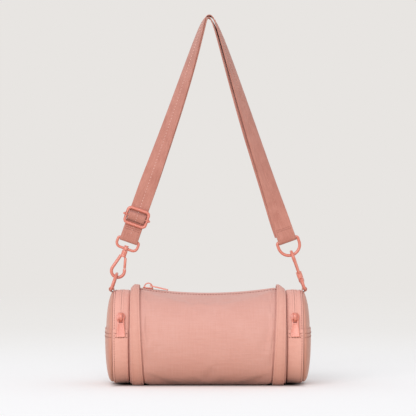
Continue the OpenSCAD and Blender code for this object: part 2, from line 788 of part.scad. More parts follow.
module adjuster_frame() color(metal) at_adjuster() translate([0, adjuster_y, 0]) {
    r = adjuster_wire / 2;
    rail = adjuster_half - adjuster_corner;
    post = adjuster_rise - adjuster_corner;
    for (s = [-1, 1]) {
        rod([-rail, s * adjuster_rise], [rail, s * adjuster_rise], r);
        difference() {
            rod([s * adjuster_half, -post], [s * adjuster_half, post], r);
            rotate([0, 90, 0])
                cylinder(r = adjuster_bar_r + run_gap, h = 4 * adjuster_half, center = true, $fn = 32);
        }
        for (up = [-1, 1]) {
            corner_from = s > 0 ? (up > 0 ? 0 : 270) : (up > 0 ? 90 : 180);
            bend([s * rail, up * post], adjuster_corner, r, corner_from, corner_from + 90);
        }
    }
}

module adjuster_bar() color(metal) at_adjuster() translate([0, adjuster_y, 0]) {
    half = adjuster_half + adjuster_wire / 2 + gap;
    knob_at = half + knob_collar;
    side = concat(
        [[adjuster_bar_r, half], [knob_base_r, half]],
        [for (i = [0:knob_steps]) let (a = 90 * i / knob_steps) [knob_r * cos(a), knob_at + knob_r * sin(a)]]
    );
    rotate([0, 90, 0]) rotate_extrude($fn = 40)
        polygon(concat(side, [for (i = [len(side) - 1:-1:0]) [side[i][0], -side[i][1]]]));
}

// The webbing where it climbs over the adjuster's bar
module adjuster_webbing() color(webbing) at_adjuster() {
    base_y = strap_y - strap_t / 2 - gap;
    w = 2 * (adjuster_half - adjuster_wire / 2 - 2 * gap);
    difference() {
        translate([-w / 2, base_y, 0]) rotate([0, 90, 0]) cylinder(r = hump_r, h = w, $fn = 64);
        translate([-w / 2 - cut, base_y, 0]) rotate([0, 90, 0])
            cylinder(r = hump_r - ply_t, h = w + 2 * cut, $fn = 64);
        translate([-w, base_y, -2 * hump_r]) cube([2 * w, 2 * hump_r, 4 * hump_r]);
    }
}

main_panel();
main_lining();
main_zip_front_tape();
main_zip_back_tape();
main_slider();
main_pull();

strip(-1);  // left_strip
lower_strip(-1);  // left_lower_strip
end_panel(-1);  // left_end_panel
end_pocket(-1);  // left_end_pocket
divider(-1);  // left_divider
seam_binding(-1);  // left_seam_binding
zip_tapes(-1);  // left_zip_tapes
at_end_slider(-1) slider(end_drop);  // left_slider
at_end_slider(-1) pull(end_pull_dip);  // left_pull
band(-1);  // left_band
tab(-1, ring_wire);  // left_tab

strip(1);  // right_strip
lower_strip(1);  // right_lower_strip
end_panel(1);  // right_end_panel
end_pocket(1);  // right_end_pocket
divider(1);  // right_divider
seam_binding(1);  // right_seam_binding
zip_tapes(1);  // right_zip_tapes
at_end_slider(1) slider(end_drop);  // right_slider
at_end_slider(1) pull(end_pull_dip);  // right_pull
band(1);  // right_band
tab(1, eye_wire);  // right_tab

bag_ring();
left_swivel_frame() eye();  // left_eye
left_swivel_frame() hook();  // left_hook
left_swivel_frame() gate();  // left_gate
left_swivel_frame() rivet();  // left_rivet
right_swivel_frame() eye();  // right_eye
right_swivel_frame() hook();  // right_hook
right_swivel_frame() gate();  // right_gate
right_swivel_frame() rivet();  // right_rivet
strap_ring();

strap();
fold(-1, fold_in, left_return);  // strap_left_fold
fold(1, ring_fold_in, right_return);  // strap_right_fold
adjuster_frame();
adjuster_bar();
adjuster_webbing();
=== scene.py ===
"""Looks of a barrel crossbody bag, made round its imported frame.

X runs along the barrel, -Y is the front and Z is up. Lengths are in metres.
"""

import logging
import math
from collections.abc import Callable, Iterator, Sequence
from contextlib import contextmanager
from dataclasses import dataclass, field
from enum import Enum

import bpy
import numpy as np
from mathutils import Matrix, Vector


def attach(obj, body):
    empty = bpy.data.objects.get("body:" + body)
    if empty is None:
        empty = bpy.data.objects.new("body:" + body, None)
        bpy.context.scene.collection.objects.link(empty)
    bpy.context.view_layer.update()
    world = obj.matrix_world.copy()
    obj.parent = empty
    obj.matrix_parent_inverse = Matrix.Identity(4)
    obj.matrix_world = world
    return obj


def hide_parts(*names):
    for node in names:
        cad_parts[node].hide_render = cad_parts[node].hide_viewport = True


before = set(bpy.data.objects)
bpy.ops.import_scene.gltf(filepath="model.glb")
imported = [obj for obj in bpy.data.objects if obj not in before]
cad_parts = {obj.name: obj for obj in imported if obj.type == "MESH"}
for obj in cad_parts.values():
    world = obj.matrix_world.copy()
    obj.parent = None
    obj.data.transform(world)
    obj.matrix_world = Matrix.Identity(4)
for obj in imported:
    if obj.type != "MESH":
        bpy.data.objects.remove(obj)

logging.basicConfig(level=logging.INFO, format="%(message)s")
LOG = logging.getLogger("bag")

MM = 0.001
ROUND = 2 * math.pi
WELD = 0.002 * MM
CLOTH_UV = "cloth"
SMOOTH_ANGLE = math.radians(42)
UP = Vector((0, 0, 1))
FRONT = Vector((0, -1, 0))

Piece = bpy.types.Object
Material = bpy.types.Material
Socket = bpy.types.NodeSocket
Point = tuple[float, float]
Pair = tuple[float, float]
Place = Callable[[float, float], Vector]
Lengths = Callable[[float, float], Point]


class Slot(Enum):
    """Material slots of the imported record."""

    SHELL = "shell"
    TRIM = "trim"
    LINING = "lining"
    ZIP_TAPE = "zip_tape"
    WEBBING = "webbing"
    HARDWARE = "hardware"


class Side(Enum):
    """The bag's two ends, by the sign of X."""

    LEFT = -1
    RIGHT = 1

    @property
    def number(self) -> int:
        """Which of a left and a right value belongs to this end."""
        return 0 if self is Side.LEFT else 1

    def named(self, piece: str) -> str:
        """Return a piece's name with the side before it."""
        return f"{self.name.lower()}_{piece}"


# Helpers for modelling


def put_down() -> None:
    """Leave edit mode and select nothing, so that an operator acts only on what comes next."""
    if bpy.context.mode != "OBJECT":
        bpy.ops.object.mode_set(mode="OBJECT")
    bpy.ops.object.select_all(action="DESELECT")


def take_up(piece: Piece) -> None:
    """Select one piece alone and make it active."""
    put_down()
    piece.select_set(True)
    bpy.context.view_layer.objects.active = piece


@contextmanager
def opened(piece: Piece) -> Iterator[None]:
    """Open a piece in edit mode with all of it selected, and close it after."""
    take_up(piece)
    bpy.ops.object.mode_set(mode="EDIT")
    bpy.ops.mesh.select_all(action="SELECT")
    yield
    put_down()


def finish_with(piece: Piece, kind: str, **settings: object) -> None:
    """Add one modifier to a piece and apply it.

    Args:
        piece: The mesh piece.
        kind: The modifier's type.
        settings: The modifier's properties.
    """
    take_up(piece)
    modifier = piece.modifiers.new(kind.lower(), kind)
    for key, value in settings.items():
        setattr(modifier, key, value)
    bpy.ops.object.modifier_apply(modifier=modifier.name)


def smooth(piece: Piece) -> Piece:
    """Shade a piece smooth, with hard edges where it turns sharply."""
    take_up(piece)
    bpy.ops.object.shade_smooth_by_angle(angle=SMOOTH_ANGLE)
    put_down()
    return piece


def join(pieces: Sequence[Piece]) -> Piece:
    """Join pieces into the first one."""
    put_down()
    for piece in pieces:
        piece.select_set(True)
    bpy.context.view_layer.objects.active = pieces[0]
    bpy.ops.object.join()
    return pieces[0]


def spread(low: float, high: float, step: float) -> list[float]:
    """Return even values from low to high, no further apart than step."""
    count = max(1, math.ceil(abs(high - low) / step - 1e-6))
    return [low + (high - low) * i / count for i in range(count + 1)]


def chain(*stretches: Sequence[float]) -> list[float]:
    """Join lists of values whose ends meet into one rising list."""
    joined = list(stretches[0])
    for stretch in stretches[1:]:
        joined.extend(stretch[1:])
    return joined


def clamped(share: float) -> float:
    """Return a share kept between 0 and 1."""
    return min(1.0, max(0.0, share))


def between(value: float, ends: Pair) -> float:
    """Return how far a value has come from one end to the other, as a share."""
    return clamped((value - ends[0]) / (ends[1] - ends[0]))


def from_top(angle: float) -> float:
    """Return how far an angle round the barrel lies from its top, either way."""
    return abs((angle + math.pi) % ROUND - math.pi)


def fade(value: float, reach: float) -> float:
    """Return a share that falls softly from 1 at zero to 0 at a reach."""
    return math.cos(math.pi / 2 * value / reach) ** 2 if value < reach else 0.0


def on_disc(across: float, up: float) -> Point:
    """Return where a point of a square lies on the disc that the square is mapped to."""
    return across * math.sqrt(1 - up * up / 2), up * math.sqrt(1 - across * across / 2)


def lay_grid(name: str, columns: Sequence[float], rows: Sequence[float], place: Place,
             lengths: Lengths, flip: bool = False, weld: bool = False, cap: bool = False) -> Piece:
    """Add a grid and lay it along a surface, with its lengths in metres as UVs.

    Args:
        name: The piece's name.
        columns: The first parameter's values.
        rows: The second parameter's values.
        place: The point of the surface at a column and a row.
        lengths: Where that point lies on the flat cloth.
        flip: Whether the faces turn the other way.
        weld: Whether the grid's edges meet and are joined.
        cap: Whether its open ends are then closed.

    Returns:
        The new piece.
    """
    put_down()
    bpy.ops.mesh.primitive_grid_add(x_subdivisions=len(columns) - 1, y_subdivisions=len(rows) - 1)
    piece = bpy.context.active_object
    piece.name = piece.data.name = name
    spots = [(column, row) for row in rows for column in columns]
    mesh = piece.data
    mesh.vertices.foreach_set("co", np.array([place(*spot) for spot in spots], np.float32).ravel())
    flat = np.array([lengths(*spot) for spot in spots], np.float32)
    layer = mesh.uv_layers.active or mesh.uv_layers.new()
    layer.name = CLOTH_UV
    corners = np.empty(len(mesh.loops), np.int32)
    mesh.loops.foreach_get("vertex_index", corners)
    layer.data.foreach_set("uv", flat[corners].ravel())
    mesh.update()
    with opened(piece):
        if flip:
            bpy.ops.mesh.flip_normals()
        if weld:
            bpy.ops.mesh.remove_doubles(threshold=WELD)
        if cap:
            bpy.ops.mesh.select_mode(type="EDGE")
            bpy.ops.mesh.select_all(action="DESELECT")
            bpy.ops.mesh.select_non_manifold()
            bpy.ops.mesh.fill_holes(sides=0)
        if weld or cap:
            bpy.ops.mesh.select_all(action="SELECT")
            bpy.ops.mesh.normals_make_consistent(inside=False)
    return piece


def drop_faces(piece: Piece, drop: Callable[[Vector], bool]) -> None:
    """Delete a piece's faces whose centres pass a test."""
    with opened(piece):
        bpy.ops.mesh.select_mode(type="FACE")
        bpy.ops.object.mode_set(mode="OBJECT")
        for polygon in piece.data.polygons:
            polygon.select = drop(polygon.center)
        bpy.ops.object.mode_set(mode="EDIT")
        bpy.ops.mesh.delete(type="FACE")


def trim_above(piece: Piece, height: float) -> None:
    """Cut a sheet off level at a height and drop what lies above."""
    with opened(piece):
        bpy.ops.mesh.bisect(plane_co=(0, 0, height), plane_no=UP, clear_outer=True)


def thicken(piece: Piece, wall: float, edge: float) -> None:
    """Give a sheet its thickness inwards and round its raw edges."""
    finish_with(piece, "SOLIDIFY", thickness=wall, offset=-1.0, use_quality_normals=True)
    finish_with(piece, "BEVEL", width=edge, segments=2, limit_method="ANGLE",
                angle_limit=math.radians(55))


CLOTH_SETTINGS = {
    "quality": 6, "mass": 0.25, "tension_stiffness": 18, "compression_stiffness": 18,
    "shear_stiffness": 8, "bending_stiffness": 0.6, "air_damping": 3, "use_pressure": True}
CLOTH_FRAMES = 20


def pad_out(piece: Piece, sewn: Callable[[Vector], bool], pressure: float, growth: float,
            most: float) -> None:
    """Blow a sheet out between its sewn edges with a cloth simulation, and keep the result.

    Args:
        piece: The sheet, before it has a thickness.
        sewn: Whether a point is held by a seam.
        pressure: The pressure behind the sheet.
        growth: How much larger the cloth is cut than its place, which puckers it.
        most: How far a point may move.
    """
    rest = [vertex.co.copy() for vertex in piece.data.vertices]
    held = piece.vertex_groups.new(name="sewn")
    held.add([i for i, point in enumerate(rest) if sewn(point)], 1.0, "REPLACE")
    take_up(piece)
    cloth = piece.modifiers.new("cloth", "CLOTH")
    for key, value in CLOTH_SETTINGS.items():
        setattr(cloth.settings, key, value)
    cloth.settings.vertex_group_mass = held.name
    cloth.settings.uniform_pressure_force = pressure
    cloth.settings.shrink_min = -growth
    cloth.settings.effector_weights.gravity = 0
    cloth.collision_settings.use_collision = False
    cloth.point_cache.frame_start = 1
    cloth.point_cache.frame_end = CLOTH_FRAMES
    for number in range(1, CLOTH_FRAMES + 1):
        bpy.context.scene.frame_set(number)
    bpy.ops.object.modifier_apply(modifier=cloth.name)
    for vertex, was in zip(piece.data.vertices, rest):
        move = vertex.co - was
        if move.length > most:
            vertex.co = was + move * (most / move.length)
    piece.vertex_groups.clear()
    bpy.context.scene.frame_set(1)
    put_down()


def keep_above(piece: Piece, height: float) -> None:
    """Lift every point of a piece that lies below a height up to it."""
    for vertex in piece.data.vertices:
        vertex.co.z = max(vertex.co.z, height)


def copies(name: str, unit: Piece, places: Sequence[Matrix]) -> Piece:
    """Copy a small unit shape to many places as one piece, and remove the unit.

    Args:
        name: The new piece's name.
        unit: The shape that repeats, round the origin.
        places: Where each copy goes.

    Returns:
        The new piece.
    """
    shape = np.array([vertex.co for vertex in unit.data.vertices])
    faces = [tuple(polygon.vertices) for polygon in unit.data.polygons]
    points, polygons = [], []
    for number, place in enumerate(places):
        turned = np.array(place)
        points.append(shape @ turned[:3, :3].T + turned[:3, 3])
        shift = number * len(shape)
        polygons.extend(tuple(corner + shift for corner in face) for face in faces)
    mesh = bpy.data.meshes.new(name)
    mesh.from_pydata(np.concatenate(points).tolist(), [], polygons)
    piece = bpy.data.objects.new(name, mesh)
    bpy.context.scene.collection.objects.link(piece)
    bpy.data.objects.remove(unit)
    return piece


def walk(points: Sequence[Vector], pitch: float) -> list[tuple[Vector, Vector]]:
    """Return points an even pitch apart along a line, each with its direction."""
    gone, reach = 0.0, pitch / 2
    found = []
    for here, ahead in zip(points, points[1:]):
        stretch = (ahead - here).length
        while stretch > 0 and gone + stretch >= reach:
            found.append((here.lerp(ahead, (reach - gone) / stretch), (ahead - here).normalized()))
            reach += pitch
        gone += stretch
    return found


def frame_at(point: Vector, along: Vector, normal: Vector) -> Matrix:
    """Return the place of a unit whose X runs along a line and whose Z points off the surface."""
    across = normal.cross(along).normalized()
    off = along.cross(across).normalized()
    return Matrix.Translation(point) @ Matrix((along, across, off)).transposed().to_4x4()


@dataclass(frozen=True)
class Sewing:
    """A row of thread: how long a stitch shows, how far on the next one is, and how thick it is."""

    shown: float = 2.3 * MM
    pitch: float = 3.1 * MM
    thick: float = 0.5 * MM
    sunk_share: float = 0.3

    def row(self, name: str, line: Sequence[Vector], cloth: Piece, thread: Material,
            slot: Slot = Slot.SHELL, body: str = "root") -> None:
        """Sew a row of stitches along a line, laid on a piece of cloth.

        Args:
            name: The row's name.
            line: Points near the cloth's surface.
            cloth: The piece that is sewn.
            thread: The row's material.
            slot: The record's material slot.
            body: The body that it rides on.
        """
        put_down()
        bpy.ops.mesh.primitive_uv_sphere_add(segments=8, ring_count=5, radius=0.5)
        unit = bpy.context.active_object
        bpy.ops.transform.resize(value=(self.shown, self.thick, self.thick))
        bpy.ops.object.transform_apply(location=False, rotation=False, scale=True)
        places = []
        for point, along in walk(line, self.pitch):
            found, spot, normal, _ = cloth.closest_point_on_mesh(point)
            if found:
                lift = self.thick * (0.5 - self.sunk_share)
                places.append(frame_at(spot + normal * lift, along, normal))
        dress(smooth(copies(name, unit, places)), thread, slot, body=body)


# Materials


def linear(code: str) -> tuple[float, float, float, float]:
    """Turn an sRGB hex colour into the linear colour that a shader takes."""
    values = [int(code[i:i + 2], 16) / 255 for i in (1, 3, 5)]
    straight = [v / 12.92 if v <= 0.04045 else ((v + 0.055) / 1.055) ** 2.4 for v in values]
    return (*straight, 1.0)


def add_node(
    tree: bpy.types.NodeTree, kind: str, sockets: dict | None = None, **settings: object
) -> bpy.types.Node:
    """Add one node with its settings, and set or link its inputs.

    Args:
        tree: The node tree.
        kind: The node's type.
        sockets: Values or other nodes' outputs, by input name or number.
        settings: The node's own properties.

    Returns:
        The new node.
    """
    node = tree.nodes.new(kind)
    for key, value in settings.items():
        setattr(node, key, value)
    for key, value in (sockets or {}).items():
        if isinstance(value, Socket):
            tree.links.new(value, node.inputs[key])
        else:
            node.inputs[key].default_value = value
    return node


class Nodes:
    """A node tree, with a short call for each kind of node that the finishes need."""

    def __init__(self, tree: bpy.types.NodeTree) -> None:
        """Take a tree over and empty it."""
        self.tree = tree
        tree.nodes.clear()

    def out(self, kind: str, sockets: dict | None = None, output: int | str = 0,
            **settings: object) -> Socket:
        """Add one node and return one of its outputs."""
        return add_node(self.tree, kind, sockets, **settings).outputs[output]

    def flat(self) -> Socket:
        """Return the place on the flat cloth, in metres."""
        return self.out("ShaderNodeUVMap", uv_map=CLOTH_UV)

    def spot(self) -> Socket:
        """Return the place in the piece, in metres."""
        return self.out("ShaderNodeTexCoord", output="Object")

    def parts(self, vector: Socket) -> Sequence[Socket]:
        """Return a vector's three parts."""
        return add_node(self.tree, "ShaderNodeSeparateXYZ", {0: vector}).outputs

    def math(self, operation: str, *values: Socket | float, clamp: bool = False) -> Socket:
        """Return the result of one step of arithmetic."""
        return self.out("ShaderNodeMath", dict(enumerate(values)), operation=operation,
                        use_clamp=clamp)

    def drawn(self, vector: Socket, scale: tuple[float, float, float],
              turn: float = 0.0) -> Socket:
        """Return a place that is turned and drawn out."""
        return self.out("ShaderNodeMapping", {
            "Vector": vector, "Rotation": (0, 0, turn), "Scale": scale})

    def noise(self, vector: Socket, scale: float = 1.0, **more: float) -> Socket:
        """Return noise, which more gives its detail, roughness and distortion."""
        named = {key.title(): value for key, value in more.items()}
        return self.out("ShaderNodeTexNoise", {"Vector": vector, "Scale": scale, **named}, "Fac")

    def wave(self, vector: Socket, pitch: float, direction: str,
             distortion: float = 0.0) -> Socket:
        """Return waves, of which the Wave texture draws one per pitch at this scale."""
        return self.out("ShaderNodeTexWave", {
            "Vector": vector, "Scale": ROUND / (20 * pitch), "Distortion": distortion},
            "Fac", bands_direction=direction)

    def ramp(self, value: Socket, low: float, high: float, to_low: float = 0.0,
             to_high: float = 1.0, curve: str = "LINEAR") -> Socket:
        """Return a value's range from low to high stretched to another range."""
        return self.out("ShaderNodeMapRange", {
            "Value": value, "From Min": low, "From Max": high, "To Min": to_low,
            "To Max": to_high}, interpolation_type=curve)

    def mix(self, share: Socket | float, low: Socket | str, high: Socket | str) -> Socket:
        """Return a mix of two colours, each a hex code or an output."""
        ends = {key: linear(tone) if isinstance(tone, str) else tone
                for key, tone in ((6, low), (7, high))}
        return self.out("ShaderNodeMix", {0: share, **ends}, 2, data_type="RGBA")

    def bump(self, height: Socket, distance: float, strength: float,
             under: Socket | None = None) -> Socket:
        """Return a normal bumped by a height, on top of another bump."""
        base = {} if under is None else {"Normal": under}
        return self.out("ShaderNodeBump", {
            "Height": height, "Distance": distance, "Strength": strength, **base})


def new_material(name: str) -> Material:
    """Return a new material that uses nodes."""
    material = bpy.data.materials.new(name)
    material.use_nodes = True
    return material


@dataclass(frozen=True)
class Finish:
    """A material whose colour runs between a light and a dark tone."""

    name: str
    light: str
    dark: str

    def surface(self, nodes: Nodes) -> dict:
        """Add the material's own nodes and return its shader's inputs."""
        raise NotImplementedError

    def make(self) -> Material:
        """Return the material."""
        material = new_material(self.name)
        nodes = Nodes(material.node_tree)
        shader = nodes.out("ShaderNodeBsdfPrincipled", self.surface(nodes))
        add_node(nodes.tree, "ShaderNodeOutputMaterial", {"Surface": shader})
        return material


@dataclass(frozen=True)
class WashedNylon(Finish):
    """Nylon cloth, woven plain and washed soft.

    The fine weave breaks the light up, slubs draw faint streaks both ways, and washing leaves
    small creases. It is drawn a little coarser than life, because 0.3 mm threads don't show.
    """

    thread: float = 0.55 * MM
    crease: float = 9 * MM
    crease_depth: float = 0.35 * MM
    slant: float = math.radians(35)
    drag_depth: float = 0.55 * MM
    roughness: float = 0.62
    roughness_change: float = 0.06
    sheen: float = 0.18

    def surface(self, nodes: Nodes) -> dict:
        """Add the weave, the slubs and the creases."""
        flat = nodes.flat()
        weave = nodes.math("ADD", *(nodes.wave(flat, self.thread, way) for way in "XY"))
        slub = nodes.math("ADD", *(
            nodes.noise(nodes.drawn(flat, stretch), detail=3.0, roughness=0.6)
            for stretch in ((45, 900, 1), (900, 45, 1))))
        tone = nodes.math("ADD", slub, nodes.noise(flat, 28.0, detail=4.0, roughness=0.55))
        creases = nodes.noise(flat, 1 / self.crease, detail=5.0, roughness=0.62, distortion=0.8)
        crumple = nodes.bump(creases, distance=self.crease_depth, strength=0.8)
        slanted = nodes.drawn(flat, (60, 240, 1), self.slant)
        drag = nodes.noise(slanted, detail=3.0, distortion=0.6)
        pulled = nodes.bump(drag, distance=self.drag_depth, strength=0.8, under=crumple)
        streak = nodes.bump(slub, distance=0.06 * MM, strength=0.4, under=pulled)
        rough = (self.roughness + self.roughness_change, self.roughness - self.roughness_change)
        return {
            "Base Color": nodes.mix(nodes.ramp(tone, 0.8, 2.2), self.dark, self.light),
            "Roughness": nodes.ramp(tone, 1.0, 2.0, *rough),
            "Sheen Weight": self.sheen, "Sheen Roughness": 0.45, "Specular IOR Level": 0.35,
            "Normal": nodes.bump(weave, distance=0.05 * MM, strength=0.4, under=streak)}


@dataclass(frozen=True)
class TwillWebbing(Finish):
    """Polyester webbing in a herringbone twill.

    Its ribs lean one way and then the other in bands along the strap, so it shows fine slanted
    lines. Each rib is 1.1 mm, which is about as coarse as the real one.
    """

    rib: float = 1.1 * MM
    rib_share: float = 0.16
    bone: float = 2.5 * MM
    slope: float = 0.9
    patch_share: float = 0.6

    def surface(self, nodes: Nodes) -> dict:
        """Add the twill's ribs and the strands along it."""
        flat = nodes.flat()
        parts = nodes.parts(flat)
        bones = nodes.math("PINGPONG", parts[0], self.bone)
        slant = nodes.math("ADD", parts[1], nodes.math("MULTIPLY", bones, self.slope))
        ribs = nodes.math("SINE", nodes.math("MULTIPLY", slant, ROUND / self.rib))
        strands = nodes.noise(nodes.drawn(flat, (1400, 90, 1)), detail=3.0, roughness=0.65)
        ribbed = nodes.math("MULTIPLY_ADD", ribs, self.rib_share, strands)
        patch = nodes.noise(flat, 60.0, detail=3.0)
        tone = nodes.math("MULTIPLY_ADD", patch, self.patch_share, ribbed)
        grain = nodes.bump(strands, distance=0.12 * MM, strength=0.7)
        return {
            "Base Color": nodes.mix(nodes.ramp(tone, 0.5, 1.1), self.dark, self.light),
            "Roughness": 0.72, "Sheen Weight": 0.25, "Sheen Roughness": 0.5,
            "Specular IOR Level": 0.3,
            "Normal": nodes.bump(ribs, distance=0.1 * MM, strength=0.8, under=grain)}


@dataclass(frozen=True)
class RibbedTape(Finish):
    """Woven zip tape: fine ribs run across it, a little duller than the cloth."""

    rib: float = 0.7 * MM
    rib_share: float = 0.5

    def surface(self, nodes: Nodes) -> dict:
        """Add the ribs and their grain."""
        flat = nodes.flat()
        ribs = nodes.wave(flat, self.rib, "Y", distortion=0.4)
        grain = nodes.noise(flat, 700.0, detail=2.0)
        tone = nodes.math("MULTIPLY_ADD", ribs, self.rib_share, grain)
        return {
            "Base Color": nodes.mix(nodes.ramp(tone, 0.3, 1.2), self.dark, self.light),
            "Roughness": 0.7, "Sheen Weight": 0.15, "Specular IOR Level": 0.3,
            "Normal": nodes.bump(tone, distance=0.08 * MM, strength=0.7)}


@dataclass(frozen=True)
class SpunThread(Finish):
    """Polyester sewing thread: two plies twisted, so each stitch has slanted grooves."""

    ply: float = 0.45 * MM

    def surface(self, nodes: Nodes) -> dict:
        """Add the twist."""
        twist = nodes.wave(nodes.spot(), self.ply, "DIAGONAL", distortion=0.6)
        return {
            "Base Color": nodes.mix(twist, self.dark, self.light),
            "Roughness": 0.55, "Sheen Weight": 0.1,
            "Normal": nodes.bump(twist, distance=0.05 * MM, strength=0.6)}


@dataclass(frozen=True)
class PaintedZinc(Finish):
    """Zinc alloy, cast and spray painted to match the cloth.

    The paint is a satin coat with a faint orange peel. It is thin and a shade lighter on edges,
    and has a few dull rubs where metal meets metal.
    """

    peel: float = 0.9 * MM

    def surface(self, nodes: Nodes) -> dict:
        """Add the worn edges, the rubs and the orange peel."""
        spot = nodes.spot()
        edge = nodes.ramp(nodes.out("ShaderNodeNewGeometry", output="Pointiness"), 0.53, 0.62)
        rub = nodes.noise(spot, 260.0, detail=4.0, roughness=0.6)
        skin = nodes.noise(spot, 1 / self.peel, detail=1.0)
        return {
            "Base Color": nodes.mix(nodes.math("MULTIPLY", edge, rub, clamp=True),
                                    self.dark, self.light),
            "Roughness": nodes.ramp(rub, 0.3, 0.75, to_low=0.25, to_high=0.4),
            "Coat Weight": 0.6, "Coat Roughness": 0.2,
            "Normal": nodes.bump(skin, distance=0.02 * MM, strength=0.4)}


def made(finish: Finish) -> Material:
    """Return a field whose material is made when the set of finishes is."""
    return field(default_factory=finish.make)


@dataclass(frozen=True)
class Finishes:
    """Every material of the bag, made once."""

    shell: Material = made(WashedNylon("washed_nylon", "#D2A097", "#C78E82"))
    # A lighter copy of the shell's nylon for the side strips: painted light.
    side: Material = made(WashedNylon("washed_nylon_painted_light", "#E1AB9F", "#D5988B"))
    # A darker copy of the shell's nylon for the bulging ends: painted shade.
    end: Material = made(WashedNylon("washed_nylon_painted_shade", "#CA9485", "#BF8374"))
    trim: Material = made(WashedNylon("nylon_binding", "#D7A295", "#CB8F82", crease=14 * MM,
                                      crease_depth=0.2 * MM))
    lining: Material = made(WashedNylon("polyester_lining", "#BC8177", "#AC7268",
                                        thread=0.4 * MM, crease_depth=0.15 * MM, sheen=0.05))
    tape: Material = made(RibbedTape("woven_zip_tape", "#C58578", "#AE6C5F"))
    webbing: Material = made(TwillWebbing("herringbone_webbing", "#CA8D80", "#AA6B5E"))
    metal: Material = made(PaintedZinc("painted_zinc", "#EBA08F", "#CE7665"))
    # Seam thread darker than the tone-on-tone thread that it stands for: painted shade of the
    # needle holes, which show as dark dashes.
    thread: Material = made(SpunThread("spun_thread_painted_hole_shade", "#95544A", "#7A4038"))
    strap_thread: Material = made(SpunThread("light_thread", "#F0CCC3", "#DDAEA3"))
    # A darker copy of the strap's thread for its right run, which lies in shade: painted shade.
    strap_thread_shaded_copy: Material = made(SpunThread("strap_thread", "#CF9586", "#B9796B"))


def dress(piece: Piece, finish: Material, slot: Slot, *nodes: str, body: str = "root") -> Piece:
    """Give a finished piece its material and body, and hide the CAD nodes that it replaces.

    Args:
        piece: The finished piece.
        finish: Its material.
        slot: Not used.
        nodes: CAD nodes that it replaces.
        body: The body that it rides on.

    Returns:
        The piece.
    """
    piece.data.materials.clear()
    piece.data.materials.append(finish)
    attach(piece, body)
    if nodes:
        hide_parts(*nodes)
    LOG.info("%s: %d faces on %s", piece.name, len(piece.data.polygons), body)
    return piece


# The barrel


@dataclass(frozen=True)
class BarrelForm:
    """The round of the barrel's cloth, which sags along its top and lies flat on the floor."""

    radius: float = 54.9 * MM
    sink: float = 3 * MM
    half: float = 84 * MM
    saddle: float = 7.5 * MM
    spread: float = math.radians(75)
    zip_half: float = 3.2 * MM
    band_rest: float = 1.9 * MM
    flat_half: float = 63 * MM
    lifted_half: float = 67.5 * MM
    slump: Pair = (3.4 * MM, 5.0 * MM)
    slump_from: Pair = (80.5 * MM, 77 * MM)
    slump_spread: float = math.radians(52)

    @property
    def axis_z(self) -> float:
        """Height of the barrel's axis."""
        return self.radius - self.sink

    @property
    def zip_radius(self) -> float:
        """Radius of the sagging zip's arc."""
        return (self.half**2 + self.saddle**2) / (2 * self.saddle)

    @property
    def edge_angle(self) -> float:
        """Angle from the top at which the panel ends beside the zip."""
        return math.asin(self.zip_half / self.radius)

    @property
    def edge_z(self) -> float:
        """Height of the panel's edge at the zip's ends."""
        return self.axis_z + self.radius * math.cos(self.edge_angle)

    def dip(self, x: float) -> float:
        """Return how far the top is let down at x."""
        return self.saddle - self.zip_radius + math.sqrt(self.zip_radius**2 - x * x)

    def slump_at(self, x: float, angle: float) -> float:
        """Return how far the barrel's top gives towards its ends, under the bands."""
        start = self.slump_from[x > 0]
        past = max(0.0, (abs(x) - start) / (self.half - start))
        return self.slump[x > 0] * past * fade(from_top(angle), self.slump_spread)

    def floor_at(self, x: float) -> float:
        """Return how high the cloth lies at x, level under the middle and lifted by the bands."""
        return self.band_rest * between(abs(x), (self.flat_half, self.lifted_half))

    def point(self, x: float, angle: float, off: float = 0.0, low: float | None = None,
              sags: bool = True) -> Vector:
        """Return a point of the cloth.

        Args:
            x: Its place along the barrel.
            angle: Its angle from the top, towards the front.
            off: How far it lies outside the panel's face.
            low: The least height, or None for the panel's own.
            sags: Whether it follows the top's dip.

        Returns:
            The point.
        """
        reach = self.radius + off
        height = self.axis_z + reach * math.cos(angle)
        if sags:
            height -= self.dip(x) * fade(from_top(angle), self.spread)
        height -= self.slump_at(x, angle)
        floor = self.floor_at(x) if low is None else low
        return Vector((x, -reach * math.sin(angle), max(floor, height)))


